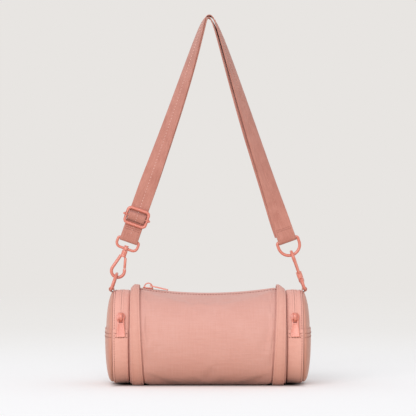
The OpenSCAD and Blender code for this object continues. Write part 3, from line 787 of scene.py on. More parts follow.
@dataclass
class MainRoom:
    """The barrel itself: its padded panel, the hem's stitches and the lining."""

    form: BarrelForm
    finishes: Finishes
    wall: float = 1.2 * MM
    mesh_step: float = 3 * MM
    fine_step: float = 1.2 * MM
    fine_from: float = 66 * MM
    fine_to: float = 78 * MM
    hem: float = 7.0 * MM
    hem_half: float = 76 * MM
    hem_step: float = 1.1 * MM
    hem_wide: float = 4.6 * MM
    hem_fade: float = 26 * MM
    band_in: float = 69 * MM
    band_shift: float = 0.2 * MM
    groove: float = 1.5 * MM
    groove_half: float = 1.6 * MM
    rests_below: float = 0.4 * MM
    lining_gap: float = 3.2 * MM
    lining_wall: float = 0.8 * MM
    lining_edge: float = 9.6 * MM
    lining_half: float = 82.2 * MM

    def rows(self, edge: float) -> list[float]:
        """Return even angles round the barrel between the two edges beside the zip."""
        return spread(edge, 2 * math.pi - edge, self.mesh_step / self.form.radius)

    def relief(self, x: float, angle: float) -> float:
        """Return how far the cloth lies inside its round: past the hem, and along the bands."""
        form = self.form
        past = (from_top(angle) - form.edge_angle) * form.radius - self.hem_wide
        step = clamped(past / MM) * max(0.0, 1 - past / self.hem_fade) ** 2
        edge = Band.between(angle, Band.inner_top, Band.inner_bottom) - self.band_shift
        near = max(0.0, 1 - abs(abs(x) - edge) / self.groove_half)
        return -self.hem_step * step - self.groove * near

    def panel(self) -> Piece:
        """Make the panel, pucker it by simulation and give it its thickness."""
        form = self.form
        half = chain(spread(0, self.fine_from, self.mesh_step),
                     spread(self.fine_from, self.fine_to, self.fine_step),
                     spread(self.fine_to, form.half, self.mesh_step))
        columns = chain([-x for x in reversed(half)], half)
        panel = lay_grid(
            "main_panel_cloth", columns, self.rows(form.edge_angle),
            lambda x, a: form.point(x, a, self.relief(x, a)),
            lambda x, a: (x, a * form.radius), flip=True)
        seam_y = form.radius * math.sin(form.edge_angle + self.hem / form.radius)

        def sewn(point: Vector) -> bool:
            """Whether the bands, the zip's seam or the floor hold this point."""
            near_zip = point.z > form.axis_z and abs(point.y) < seam_y
            return abs(point.x) > self.band_in or near_zip or point.z < self.rests_below

        pad_out(panel, sewn, pressure=3.0, growth=0.012, most=1.6 * MM)
        keep_above(panel, 0.0)
        finish_with(panel, "SUBSURF", levels=1, render_levels=1)
        keep_above(panel, 0.0)
        thicken(panel, self.wall, edge=0.4 * MM)
        return dress(smooth(panel), self.finishes.shell, Slot.SHELL, "main_panel")

    def hem_rows(self, panel: Piece) -> None:
        """Sew the row of stitches beside each edge of the top zip."""
        form = self.form
        for name, sign in (("front", 1), ("back", -1)):
            angle = sign * (form.edge_angle + self.hem / form.radius)
            line = [form.point(x, angle)
                    for x in spread(-self.hem_half, self.hem_half, self.mesh_step)]
            # The hem's stitches take the darkened seam thread: painted shade of the needle holes.
            Sewing(thick=0.75 * MM).row(
                f"main_hem_stitches_{name}", line, panel, self.finishes.thread)

    def lining(self) -> Piece:
        """Make the lining that hangs inside the panel."""
        form = self.form
        low = form.band_rest + self.lining_gap
        lining = lay_grid(
            "main_lining_cloth", spread(-self.lining_half, self.lining_half, 2 * self.mesh_step),
            self.rows(math.asin(self.lining_edge / form.radius)),
            lambda x, a: form.point(x, a, -self.lining_gap, low),
            lambda x, a: (x, a * form.radius), flip=True)
        thicken(lining, self.lining_wall, edge=0.2 * MM)
        return dress(smooth(lining), self.finishes.lining, Slot.LINING, "main_lining")

    def build(self) -> None:
        """Build the main room."""
        self.hem_rows(self.panel())
        self.lining()


@dataclass
class Band:
    """A folded cloth band round the barrel, edge-stitched on both sides."""

    form: BarrelForm
    finishes: Finishes
    side: Side
    inner_top: float = 74.6 * MM
    inner_bottom: float = 69.4 * MM
    width_top: float = 9.6 * MM
    width_bottom: float = 12.6 * MM
    thick: float = 1.5 * MM
    gap: float = 0.3 * MM
    stitch_in: float = 2.1 * MM
    valley: float = 0.28 * MM
    valley_half: float = 0.8 * MM
    crown: float = 0.35 * MM
    face_low: float = 0.2 * MM
    face_steps: int = 20
    round_at: tuple[float, ...] = tuple(math.radians(turn) for turn in (40, 0, -40))
    cloth_step: float = 0.9 * MM
    steps: int = 150

    @staticmethod
    def between(angle: float, top: float, bottom: float) -> float:
        """Return a size that changes from the top of the barrel to its bottom."""
        return bottom + (top - bottom) * (1 + math.cos(angle)) / 2

    def outline(self, width: float) -> list[Point]:
        """Return the band's section: across from its inner edge, and height over the panel."""
        edge = self.thick / 2
        face = []
        for i in range(self.face_steps + 1):
            across = edge + (width - 2 * edge) * i / self.face_steps
            dent = sum(
                self.valley * max(0.0, 1 - abs(across - spot) / self.valley_half)
                for spot in (self.stitch_in, width - self.stitch_in))
            crown = self.crown * math.sin(math.pi * across / width)
            face.append((across, self.thick + crown - self.face_low - dent))
        nose = [(width - edge + edge * math.cos(t), edge + edge * math.sin(t))
                for t in self.round_at]
        heel = [(edge - edge * math.cos(t), edge - edge * math.sin(t)) for t in self.round_at]
        return face + nose + [(width - edge, 0.0), (width / 2, 0.0), (edge, 0.0)] + heel

    def at(self, index: float, angle: float) -> Vector:
        """Return the section's point of that index at an angle round the barrel."""
        width = self.between(angle, self.width_top, self.width_bottom)
        shape = self.outline(width)
        across, height = shape[int(index) % len(shape)]
        x = self.between(angle, self.inner_top, self.inner_bottom) + across
        low = max(0.0, self.thick - height)
        return self.form.point(self.side.value * x, angle, self.gap + height, low, sags=False)

    def build(self) -> None:
        """Build the band and its two rows of stitches."""
        form, side = self.form, self.side
        count = len(self.outline(self.width_top))
        turns = [ROUND * i / self.steps for i in range(self.steps + 1)]
        band = lay_grid(
            side.named("band_cloth"), range(count + 1), turns, self.at,
            lambda i, a: (self.cloth_step * i, a * form.radius), weld=True)
        dress(smooth(band), self.finishes.trim, Slot.TRIM, side.named("band"))
        sewing = Sewing(thick=0.4 * MM, sunk_share=0.42)
        for name, share in (("inner", 0), ("outer", 1)):
            line = []
            for angle in turns:
                width = self.between(angle, self.width_top, self.width_bottom)
                x = self.between(angle, self.inner_top, self.inner_bottom)
                x += width - self.stitch_in if share else self.stitch_in
                line.append(form.point(side.value * x, angle, self.gap + self.thick, 0.0,
                                       sags=False))
            sewing.row(side.named(f"band_stitches_{name}"), line, band, self.finishes.trim,
                       Slot.TRIM)


# The end pockets


@dataclass(frozen=True)
class EndForm:
    """The round of an end pocket, by its place outwards along X and its elevation at the front."""

    radius: float = 50.3 * MM
    lift: float = 2.2 * MM
    inner_x: float = 84.3 * MM
    length: float = 18.2 * MM
    gap: float = 0.3 * MM
    bulge: float = 8 * MM
    bow: float = 0.88
    bow_change: float = -0.2
    lap_top: float = 61.8 * MM
    slot_half: float = 0.08 * MM

    @property
    def centre_z(self) -> float:
        """Height of the pocket's axis."""
        return self.radius + self.lift

    @property
    def rim_x(self) -> float:
        """Where the strip meets the end panel."""
        return self.inner_x + self.length

    @property
    def zip_x(self) -> float:
        """Where the zip runs."""
        return self.inner_x + self.length / 2

    @property
    def zip_low(self) -> float:
        """Elevation at which the zip starts."""
        return math.asin((self.lap_top - self.centre_z) / self.radius)

    def point(self, side: Side, x: float, elevation: float, off: float = 0.0) -> Vector:
        """Return a point off the strip's face."""
        reach = self.radius + off
        return Vector((side.value * x, -reach * math.cos(elevation),
                       self.centre_z + reach * math.sin(elevation)))

    def end_point(self, side: Side, across: float, up: float, foot: float, off: float) -> Vector:
        """Return a point of the bulging end.

        Args:
            side: The bag's end.
            across: From -1 to 1 across a square that the round end is mapped from.
            up: From -1 to 1 up that square.
            foot: Radius at which the bulge starts.
            off: How far the layer lies outside the end panel.

        Returns:
            The point.
        """
        disc = on_disc(across, up)
        share = min(1.0, math.hypot(*disc))
        turn = math.pi / 2 * share
        bow = self.bow - self.bow_change * disc[1]
        reach = (foot + off) * math.sin(turn) ** bow / max(share, 1e-9)
        out = (self.bulge + off) * max(0.0, math.cos(turn)) ** bow
        return Vector((side.value * (self.rim_x + self.gap + out), reach * disc[0],
                       self.centre_z + reach * disc[1]))


@dataclass
class EndPocket:
    """One end of the bag: the zipped side strip, the bulging end and the lower layer on both."""

    form: EndForm
    finishes: Finishes
    side: Side
    wall: float = 1.4 * MM
    cell: float = 0.9 * MM
    turn_step: float = 2.2 * MM
    row_step: float = 3 * MM
    uneven: float = 0.18 * MM
    uneven_waves: tuple[float, float, float] = (5, 260, 11)
    slot_below: float = 0.3 * MM
    strip_lowest: float = 0.6 * MM
    pocket_lowest: float = 0.5 * MM
    lap_gap: float = 0.2 * MM
    lap_wall: float = 0.9 * MM
    lap_start: float = 1.5 * MM
    lap_rows: tuple[tuple[str, float], ...] = (("upper", 4.4 * MM), ("lower", 8.4 * MM))
    foot: float = 48.6 * MM
    rim_round: float = 1.3 * MM
    rim_reach: float = 2.34 * MM
    lower_round_share: float = 0.4
    row_end: float = 0.05
    rim_row_in: float = 1.9 * MM
    zip_row_in: float = 2.2 * MM
    lip: float = 0.35 * MM
    lip_in: float = 0.9 * MM
    crown: float = 0.5 * MM
    end_cells: int = 40
    divider_cells: int = 32
    divider_r: float = 53.1 * MM
    divider_x: float = 82.5 * MM
    divider_z: float = 51.9 * MM
    divider_wall: float = 1.2 * MM
    divider_low: float = 3.4 * MM
    divider_high: float = 101.6 * MM
    divider_sag: float = 0.15 * MM
    divider_waves: Pair = (40, 31)
    binding_r: float = 48.6 * MM

    @property
    def lap_off(self) -> float:
        """How far the lower layer's face lies off the upper one's."""
        return self.lap_gap + self.lap_wall

    def seam_fall(self, from_seam: float) -> float:
        """Return how far the cloth turns in, by the distance from its seam."""
        return max(0.0, 1 - from_seam / self.rim_reach) ** 2 * self.rim_round

    def strip_off(self, x: float) -> float:
        """Return how far the strip's face stands off its round at x: its rounded seams and lips."""
        form = self.form
        from_slot = abs(x - form.zip_x) - form.slot_half
        lip = self.lip * math.exp(-((from_slot - self.lip_in) / self.lip_in) ** 2)
        crown = self.crown * math.sin(math.pi * (x - form.inner_x) / form.length)
        return crown - self.crown + lip - self.seam_fall(min(x - form.inner_x, form.rim_x - x))

    def strip(self) -> Piece:
        """Make the side strip with its slot for the zip."""
        form = self.form
        slot = (form.zip_x - form.slot_half, form.zip_x + form.slot_half)
        columns = chain(spread(form.inner_x, slot[0], self.cell), slot,
                        spread(slot[1], form.rim_x, self.cell))
        low, high = form.zip_low, math.pi - form.zip_low
        step = self.turn_step / form.radius
        rows = chain(spread(low, high, step), spread(high, low + ROUND, step))

        def place(x: float, elevation: float) -> Vector:
            """Return the strip's face, a little uneven as sewn cloth is."""
            slow, along, fast = self.uneven_waves
            wave = math.sin(slow * elevation + along * x) * math.sin(fast * elevation)
            off = self.strip_off(x) + self.uneven * wave
            return form.point(self.side, x, elevation, off)

        def in_slot(point: Vector) -> bool:
            """Whether a face lies in the slot."""
            return (slot[0] < abs(point.x) < slot[1]
                    and point.z > form.lap_top - self.slot_below)

        strip = lay_grid(
            self.side.named("strip_cloth"), columns, rows, place,
            lambda x, e: (x, e * form.radius), flip=self.side is Side.LEFT)
        drop_faces(strip, in_slot)
        with opened(strip):
            bpy.ops.mesh.remove_doubles(threshold=WELD)
        thicken(strip, self.wall - 0.4 * MM, edge=0.35 * MM)
        keep_above(strip, self.strip_lowest)
        # The strip takes the lighter copy of the shell's nylon: painted light.
        return dress(smooth(strip), self.finishes.side, Slot.SHELL, self.side.named("strip"))

    def lower_off(self, x: float) -> float:
        """Return how far the lower layer's face stands off the strip's round at x."""
        return self.lap_off - self.lower_round_share * self.seam_fall(self.form.rim_x - x)

    def lower_strip(self) -> Piece:
        """Make the lower layer on the strip, cut level below the zip's start."""
        form = self.form
        rows = spread(-1.5 * math.pi, 0.5 * math.pi, self.turn_step / form.radius)
        layer = lay_grid(
            self.side.named("lower_strip_cloth"),
            spread(form.inner_x + self.lap_start, form.rim_x, self.cell), rows,
            lambda x, e: form.point(self.side, x, e, self.lower_off(x)),
            lambda x, e: (x, e * form.radius), flip=self.side is Side.LEFT, weld=True)
        self.face_out(layer)
        trim_above(layer, form.lap_top)
        thicken(layer, self.lap_wall, edge=0.3 * MM)
        keep_above(layer, 0.0)
        # The lower layer takes the lighter copy of the shell's nylon: painted light.
        return dress(smooth(layer), self.finishes.side, Slot.SHELL,
                     self.side.named("lower_strip"))

    def face_out(self, layer: Piece) -> None:
        """Turn a tube's faces away from the pocket's axis."""
        axis = Vector((0, 0, self.form.centre_z))
        balance = 0.0
        for polygon in layer.data.polygons:
            arm = polygon.center - axis
            arm.x = 0
            balance += arm.dot(polygon.normal)
        if balance < 0:
            with opened(layer):
                bpy.ops.mesh.flip_normals()

    def end_sheet(self, name: str, off: float, growth: float) -> Piece:
        """Make one layer of the bulging end, puckered by simulation between its seams."""
        form, foot = self.form, self.foot
        cells = spread(-1.0, 1.0, 2 / self.end_cells)
        sheet = lay_grid(
            self.side.named(name), cells, cells,
            lambda u, v: form.end_point(self.side, u, v, foot, off),
            lambda u, v: (u * foot, v * foot), flip=self.side is Side.LEFT)
        rim = form.rim_x + form.gap + MM
        pad_out(sheet, lambda p: abs(p.x) < rim, pressure=2.5, growth=growth, most=1.2 * MM)
        return sheet

    def end_panel(self) -> Piece:
        """Make the bulging end."""
        panel = self.end_sheet("end_panel_cloth", 0.0, growth=0.01)
        finish_with(panel, "SUBSURF", levels=1, render_levels=1)
        thicken(panel, self.wall, edge=0.3 * MM)
        # The end takes the darker copy of the shell's nylon: painted shade.
        return dress(smooth(panel), self.finishes.end, Slot.SHELL, self.side.named("end_panel"))

    def end_pocket(self) -> Piece:
        """Make the lower layer on the bulging end, cut level as the one on the strip is."""
        layer = self.end_sheet("end_pocket_cloth", self.lap_off, growth=0.012)
        trim_above(layer, self.form.lap_top)
        finish_with(layer, "SUBSURF", levels=1, render_levels=1)
        thicken(layer, self.lap_wall, edge=0.3 * MM)
        keep_above(layer, self.pocket_lowest)
        # The lower layer on the end takes the darker copy of the shell's nylon: painted shade.
        return dress(smooth(layer), self.finishes.end, Slot.SHELL, self.side.named("end_pocket"))

    def seam_rows(self, strip: Piece, lower: Piece, pocket: Piece) -> None:
        """Sew the rows that show: beside the rim, beside the zip, and two along the lap's edge."""
        # The seams' stitches take the darkened seam thread: painted shade of the needle holes.
        form, side, thread = self.form, self.side, self.finishes.thread
        sewing = Sewing(shown=2.0 * MM, pitch=2.9 * MM, thick=0.65 * MM)
        fine = Sewing(shown=2.0 * MM, pitch=2.8 * MM, thick=0.35 * MM)
        step = self.row_step / form.radius
        low, high = form.zip_low, math.pi - form.zip_low
        rim = form.rim_x - self.rim_row_in
        upper = [form.point(side, rim, e) for e in spread(low, high, step)]
        sewing.row(side.named("rim_stitches"), upper, strip, thread)
        under = [form.point(side, rim, low - e, self.lap_off)
                 for e in spread(self.row_end, math.pi + 2 * low - self.row_end, step)]
        sewing.row(side.named("lower_rim_stitches"), under, lower, thread)
        for name, sign in (("inner", -1), ("outer", 1)):
            x = form.zip_x + sign * (form.slot_half + self.zip_row_in)
            line = [form.point(side, x, e) for e in spread(0, math.pi, step) if low < e < high]
            fine.row(side.named(f"zip_stitches_{name}"), line, strip, self.finishes.shell)
        for name, drop in self.lap_rows:
            up = form.lap_top - drop - form.centre_z
            elevation = math.asin(up / form.radius)
            for face, turn in (("front", elevation), ("back", math.pi - elevation)):
                line = [form.point(side, x, turn, self.lap_off)
                        for x in spread(form.inner_x + self.lap_start, form.rim_x - MM, MM)]
                sewing.row(side.named(f"lap_stitches_{name}_{face}"), line, lower, thread)
            reach = math.sqrt(self.foot**2 - up**2) - MM
            line = [form.end_point(side, y / self.foot, up / self.foot, self.foot, self.lap_off)
                    for y in spread(-reach, reach, 2 * MM)]
            for point in line:
                point.z = form.lap_top - drop
            sewing.row(side.named(f"end_lap_stitches_{name}"), line, pocket, thread)

    def divider(self) -> Piece:
        """Make the cloth wall between the main room and the pocket."""
        def place(across: float, up: float) -> Vector:
            """Return a point of the wall, which is round and cut level at the top and bottom."""
            disc = on_disc(across, up)
            height = self.divider_z + self.divider_r * disc[1]
            along, high = self.divider_waves
            sag = self.divider_sag * math.sin(along * across) * math.sin(high * up)
            return Vector((self.side.value * (self.divider_x + self.divider_wall) + sag,
                           self.divider_r * disc[0],
                           min(self.divider_high, max(self.divider_low, height))))

        cells = spread(-1.0, 1.0, 2 / self.divider_cells)
        wall = lay_grid(self.side.named("divider_cloth"), cells, cells, place,
                        lambda u, v: (u * self.divider_r, v * self.divider_r),
                        flip=self.side is Side.LEFT)
        thicken(wall, self.divider_wall, edge=0.2 * MM)
        return dress(smooth(wall), self.finishes.lining, Slot.LINING, self.side.named("divider"))

    def binding(self) -> Piece:
        """Make the tape folded over the seam allowance inside the rim."""
        form = self.form
        outline = [(-2.6, 0.0), (-2.9, -0.3), (-2.9, -0.7), (-2.6, -1.0), (-0.7, -1.0),
                   (-0.5, -0.8), (-0.5, -0.2), (-0.7, 0.0)]

        def place(index: float, elevation: float) -> Vector:
            """Return the binding's section, which is in millimetres, at an elevation."""
            along, off = outline[int(index) % len(outline)]
            return form.point(self.side, form.rim_x + along * MM, elevation,
                              self.binding_r - form.radius + off * MM)

        binding = lay_grid(
            self.side.named("seam_binding_tape"), range(len(outline) + 1),
            spread(0, ROUND, self.row_step / form.radius), place,
            lambda i, e: (i * MM, e * form.radius), weld=True)
        return dress(smooth(binding), self.finishes.lining, Slot.LINING,
                     self.side.named("seam_binding"))

    def build(self) -> None:
        """Build the pocket."""
        strip, lower = self.strip(), self.lower_strip()
        self.end_panel()
        pocket = self.end_pocket()
        self.seam_rows(strip, lower, pocket)
        self.divider()
        self.binding()


# Zips


@dataclass
class ZipTapes:
    """The two tapes of a zip with their coils on the inside, laid along a line.

    The line is given as a function of the distance along it, which returns a point on the
    tapes' face and the direction out of the bag there. Across runs from slit to edge.
    """

    line: Callable[[float], tuple[Vector, Vector]]
    start: float
    end: float
    half: float
    fall: float
    slit: float = 0.55 * MM
    roll: float = 0.15 * MM
    rolled: float = 0.5 * MM
    fall_from: float = 3.5 * MM
    thick: float = 0.8 * MM
    coil_r: float = 0.62 * MM
    coil_wire: float = 0.22 * MM
    coil_pitch: float = 1.7 * MM
    coil_below_share: float = 0.9

    def across(self, distance: float) -> Vector:
        """Return the direction across the tapes."""
        (here, out), (ahead, _) = self.line(distance), self.line(distance + MM)
        return out.cross((ahead - here).normalized()).normalized()

    def tape(self, name: str, sign: int) -> Piece:
        """Make one tape, from the slit to its outer edge."""
        flat_from = self.slit + self.rolled
        cells = chain((self.slit, flat_from), spread(flat_from, self.half, 1.5 * MM))

        def place(across: float, distance: float) -> Vector:
            """Return a point of the tape's face, rolled over a little at the slit."""
            point, out = self.line(distance)
            share = max(0.0, (across - self.fall_from) / (self.half - self.fall_from))
            roll = self.roll if across == self.slit else 0.0
            return point + sign * across * self.across(distance) - out * (self.fall * share + roll)

        tape = lay_grid(name, cells, spread(self.start, self.end, 2 * MM), place,
                        lambda a, d: (a, d), flip=sign < 0)
        thicken(tape, self.thick, edge=0.15 * MM)
        return tape

    def coil(self, name: str, sign: int) -> Piece:
        """Make one tape's coil: a row of bent wire loops under the slit's edge."""
        put_down()
        bpy.ops.mesh.primitive_torus_add(
            major_segments=8, minor_segments=4, major_radius=self.coil_r,
            minor_radius=self.coil_wire)
        unit = bpy.context.active_object
        places = []
        for distance in spread(self.start + MM, self.end - MM, self.coil_pitch):
            point, out = self.line(distance)
            across = self.across(distance)
            spot = point + sign * across * (self.slit + self.coil_r)
            spot -= out * (self.thick + self.coil_r * self.coil_below_share)
            places.append(frame_at(spot, across, out.cross(across)))
        return copies(name, unit, places)

    def make(self, name: str, sign: int) -> Piece:
        """Make one tape with its coil as one piece."""
        return smooth(join([self.tape(name, sign), self.coil(f"{name}_coil", sign)]))


def build_main_zip(form: BarrelForm, finishes: Finishes) -> None:
    """Build the two tapes of the top zip."""
    drop = 1.4 * MM
    half_length = 82.2 * MM
    centre = form.edge_z - form.saddle + form.zip_radius

    def line(distance: float) -> tuple[Vector, Vector]:
        """Return the zip's sagging line."""
        turn = distance / form.zip_radius
        out = Vector((-math.sin(turn), 0, math.cos(turn)))
        spot = Vector((0, 0, centre)) - out * (form.zip_radius + drop)
        return spot - Vector((0, 0, form.slump_at(spot.x, 0.0))), out

    tapes = ZipTapes(line, -half_length, half_length, half=9 * MM, fall=1.0 * MM)
    for name, sign, node in (("front", 1, "main_zip_back_tape"),
                             ("back", -1, "main_zip_front_tape")):
        tape = tapes.make(f"main_zip_{name}_tape_cloth", sign)
        dress(tape, finishes.tape, Slot.ZIP_TAPE, node)


def build_end_zip(form: EndForm, side: Side, finishes: Finishes) -> None:
    """Build the two tapes of an end pocket's zip as one piece."""
    drop = 1.5 * MM
    low = form.zip_low - math.radians(5)

    def line(distance: float) -> tuple[Vector, Vector]:
        """Return the zip's line over the pocket's top."""
        elevation = distance / form.radius
        out = Vector((0, -math.cos(elevation), math.sin(elevation)))
        return form.point(side, form.zip_x, elevation, -drop), out

    tapes = ZipTapes(line, low * form.radius, (math.pi - low) * form.radius, half=5.5 * MM,
                     fall=0.0)
    pair = join([tapes.make(side.named(f"zip_tape_{name}"), sign)
                 for name, sign in (("inner", 1), ("outer", -1))])
    pair.name = side.named("zip_tapes_cloth")
    dress(pair, finishes.tape, Slot.ZIP_TAPE, side.named("zip_tapes"))


# The strap


@dataclass(frozen=True)
class Station:
    """A place along a piece of webbing: its middle, and the directions across and off its face."""

    middle: Vector
    wide: Vector
    face: Vector

    def moved(self, off: float, slip: float = 0.0) -> "Station":
        """Return the station moved off its face and sideways."""
        return Station(self.middle + off * self.face + slip * self.wide, self.wide, self.face)


WEBBING_SOFT_EDGE = 0.55 * MM


def sweep(name: str, stations: list[Station], width: float, thick: float) -> Piece:
    """Sweep webbing with soft edges along its stations.

    Args:
        name: The piece's name.
        stations: The places that its middle passes through.
        width: The webbing's width.
        thick: The webbing's thickness.

    Returns:
        The new piece.
    """
    half, soft = width / 2, WEBBING_SOFT_EDGE
    edge = [(half - soft + soft * math.cos(t), thick / 2 * math.sin(t))
            for t in (math.radians(turn) for turn in (90, 45, 0, -45, -90))]
    rear = [(half * share, -thick / 2) for share in (0.6, 0.2, -0.2, -0.6)]
    outline = (edge + rear + [(-across, off) for across, off in reversed(edge)]
               + [(-across, -off) for across, off in rear])
    gone = [0.0]
    for here, ahead in zip(stations, stations[1:]):
        gone.append(gone[-1] + (ahead.middle - here.middle).length)

    def place(index: float, number: float) -> Vector:
        """Return a point of the webbing's skin."""
        station = stations[int(number)]
        across, off = outline[int(index) % len(outline)]
        return station.middle + across * station.wide + off * station.face

    def lengths(index: float, number: float) -> Point:
        """Return where it lies on the flat webbing."""
        across, off = outline[int(index) % len(outline)]
        return across + (half if off < 0 else 0.0), gone[int(number)]

    return lay_grid(name, range(len(outline) + 1), range(len(stations)), place, lengths,
                    weld=True, cap=True)


@dataclass
class StrapLine:
    """The strap's line: up from a bar on each side, twisted a quarter turn, and over the top."""

    lean: float = math.radians(19.5)
    bar_x: float = 105.5 * MM
    bar_z: float = 103.5 * MM
    chain: float = 57.05 * MM
    straight: Pair = (60 * MM, 17 * MM)
    depth: float = -2.25 * MM
    reach: Pair = (180 * MM, 183 * MM)
    climb: Pair = (math.radians(20.3), math.radians(18.7))
    top: Vector = field(default_factory=lambda: Vector((1.6 * MM, 0, 401.3 * MM)))
    pull: float = 9 * MM
    twist_share: Pair = (1.5, 1.6)
    foot_twist: Pair = (math.radians(24), math.radians(27))
    foot_share: float = 25

    def up(self, side: Side) -> Vector:
        """Return the direction that the strap leans in."""
        return Vector((-side.value * math.sin(self.lean), 0, math.cos(self.lean)))

    def foot(self, side: Side, distance: float) -> Vector:
        """Return a point above the bar that holds the strap."""
        corner = Vector((side.value * self.bar_x, 0, self.bar_z))
        return corner + (self.chain + distance) * self.up(side)

    def across(self, side: Side) -> Vector:
        """Return the direction across the webbing at its foot."""
        along = -side.value * self.up(side)
        return Vector((-along.z, 0, along.x))

    def straight_at(self, side: Side, distance: float) -> Station:
        """Return a station of the untwisted stretch."""
        return Station(self.foot(side, distance) + Vector((0, self.depth, 0)),
                       self.across(side), FRONT)

    def curved_at(self, side: Side, share: float) -> Station:
        """Return a station of the twisted stretch, from its foot at 0 to the top at 1."""
        which = side.number
        start = self.foot(side, self.straight[which])
        lean = self.climb[which]
        climb = Vector((-side.value * math.sin(lean), 0, math.cos(lean)))
        points = (start, start + self.reach[which] * climb,
                  self.top + Vector((side.value * self.pull, 0, 0)), self.top)
        left = 1 - share
        weights = (left**3, 3 * share * left**2, 3 * share**2 * left, share**3)
        middle = sum((w * p for w, p in zip(weights, points)), Vector())
        slope = (left**2 * (points[1] - points[0]) + 2 * share * left * (points[2] - points[1])
                 + share**2 * (points[3] - points[2]))
        along = -side.value * slope.normalized()
        early = self.foot_twist[which]
        turn = ((math.pi / 2 - early) * left ** self.twist_share[which]
                + early * left ** self.foot_share)
        out = Vector((-along.z, 0, along.x))
        back = Vector((0, 1, 0))
        return Station(middle + Vector((0, self.depth, 0)),
                       math.cos(turn) * back + math.sin(turn) * out,
                       math.cos(turn) * out - math.sin(turn) * back)


@dataclass
class Strap:
    """The shoulder strap: two plies of webbing, of which the front one folds round both bars.

    The plies lie close on the left run and stand apart on the right one, where the rear ply has
    also slipped sideways, so its edge shows beside a dark groove.
    """

    finishes: Finishes
    line: StrapLine
    width: float = 20 * MM
    ply: float = 1.25 * MM
    split: float = 0.25 * MM
    bar_room: Pair = (1.8 * MM, 1.95 * MM)
    bar_steps: int = 12
    bar_lap: float = 0.15 * MM
    returns: Pair = (60 * MM, 16 * MM)
    rear_y: float = 2.1 * MM
    sewn: float = 13 * MM
    steps: int = 90
    straight_step: float = 6 * MM
    slip: float = 1.9 * MM
    slip_over: Pair = (0.3, 0.42)
    gape: float = 1.3 * MM
    gape_over: Pair = (0.42, 0.54)
    shut_over: Pair = (0.88, 0.98)
    stitches: Sewing = Sewing(shown=1.7 * MM, pitch=3.4 * MM, thick=0.65 * MM, sunk_share=0.25)
    tacks: Sewing = Sewing(shown=1.3 * MM, pitch=1.7 * MM, thick=0.45 * MM)
    tacks_at: Pair = (11 * MM, 13 * MM)
    tack_half: float = 8.5 * MM
    tack_y: float = -1.4 * MM

    def fold(self, side: Side) -> list[Station]:
        """Return the front ply's way down round a bar and up behind, from the front."""
        line = self.line
        centre, up, wide = line.foot(side, 0), line.up(side), line.across(side)
        reach = self.bar_room[side.number] + self.ply / 2
        stations = [Station(centre + up * 2 * MM + FRONT * (reach + self.bar_lap), wide, FRONT)]
        for i in range(self.bar_steps + 1):
            turn = math.pi * i / self.bar_steps
            off = FRONT * math.cos(turn) - up * math.sin(turn)
            stations.append(Station(centre + off * reach, wide, off))
        rear = line.depth + self.rear_y
        for share in (0.25, 0.5, 0.75, 1.0):
            ease = share * share * (3 - 2 * share)
            y = reach + (rear - reach) * ease
            stations.append(Station(centre + up * self.sewn * share + Vector((0, y, 0)), wide,
                                    -FRONT))
        for distance in spread(self.sewn, self.returns[side.number], 4 * MM)[1:]:
            stations.append(Station(centre + up * distance + Vector((0, rear, 0)), wide, -FRONT))
        return stations

    def run(self, off: float, slip: float = 0.0) -> list[Station]:
        """Return the stations from the left bar over the top to the right bar.

        Args:
            off: How far the ply lies off the strap's middle.
            slip: How far it has slipped sideways on the right run.

        Returns:
            The stations.
        """
        line = self.line
        low, high = (spread(self.straight_step, length, self.straight_step)
                     for length in line.straight)
        shares = [i / self.steps for i in range(1, self.steps + 1)]
        way = [line.straight_at(Side.LEFT, d) for d in low]
        way += [line.curved_at(Side.LEFT, s) for s in shares]
        way += [line.curved_at(Side.RIGHT, s) for s in reversed(shares[:-1])]
        way += [line.straight_at(Side.RIGHT, d) for d in reversed(high)]
        stations = []
        for number, station in enumerate(way):
            share = number / (len(way) - 1)
            apart = min(between(share, self.gape_over), 1 - between(share, self.shut_over))
            gape = self.gape * apart if off < 0 else 0.0
            stations.append(station.moved(off - gape, -slip * between(share, self.slip_over)))
        return stations

    def build(self) -> None:
        """Build both plies, the stitches down the middle and the folds' bar tacks."""
        webbing = self.finishes.webbing
        half = (self.ply + self.split) / 2
        stations = list(reversed(self.fold(Side.LEFT))) + self.run(half) + self.fold(Side.RIGHT)
        face = sweep("strap_front_ply", stations, self.width, self.ply)
        dress(smooth(face), webbing, Slot.WEBBING, "strap", "strap_left_fold",
              "strap_right_fold", body="strap")
        rear = sweep("strap_back_ply", self.run(-half, self.slip), self.width, self.ply)
        dress(smooth(rear), webbing, Slot.WEBBING, "strap", body="strap")
        for name, off, cloth in (("front", self.ply, face), ("back", -self.ply, rear)):
            line = [station.middle for station in self.run(off)]
            top = max(range(len(line)), key=lambda i: line[i].z)
            # The right run's stitches take the darker copy of the same thread: painted shade.
            for part, stretch, thread in (("left", line[:top], self.finishes.strap_thread),
                                          ("right", line[top:], self.finishes.strap_thread_shaded_copy)):
                self.stitches.row(f"strap_stitches_{name}_{part}", stretch, cloth, thread,
                                  Slot.WEBBING, "strap")
        for side in Side:
            wide = self.line.across(side)
            for number, distance in enumerate(self.tacks_at):
                middle = self.line.straight_at(side, distance).middle + Vector((0, self.tack_y, 0))
                line = [middle + wide * w for w in spread(-self.tack_half, self.tack_half, MM)]
                # The bar tacks take the darkened seam thread: painted shade of the needle holes.
                self.tacks.row(side.named(f"strap_tack_{number}"), line, face,
                               self.finishes.thread, Slot.WEBBING, "strap")


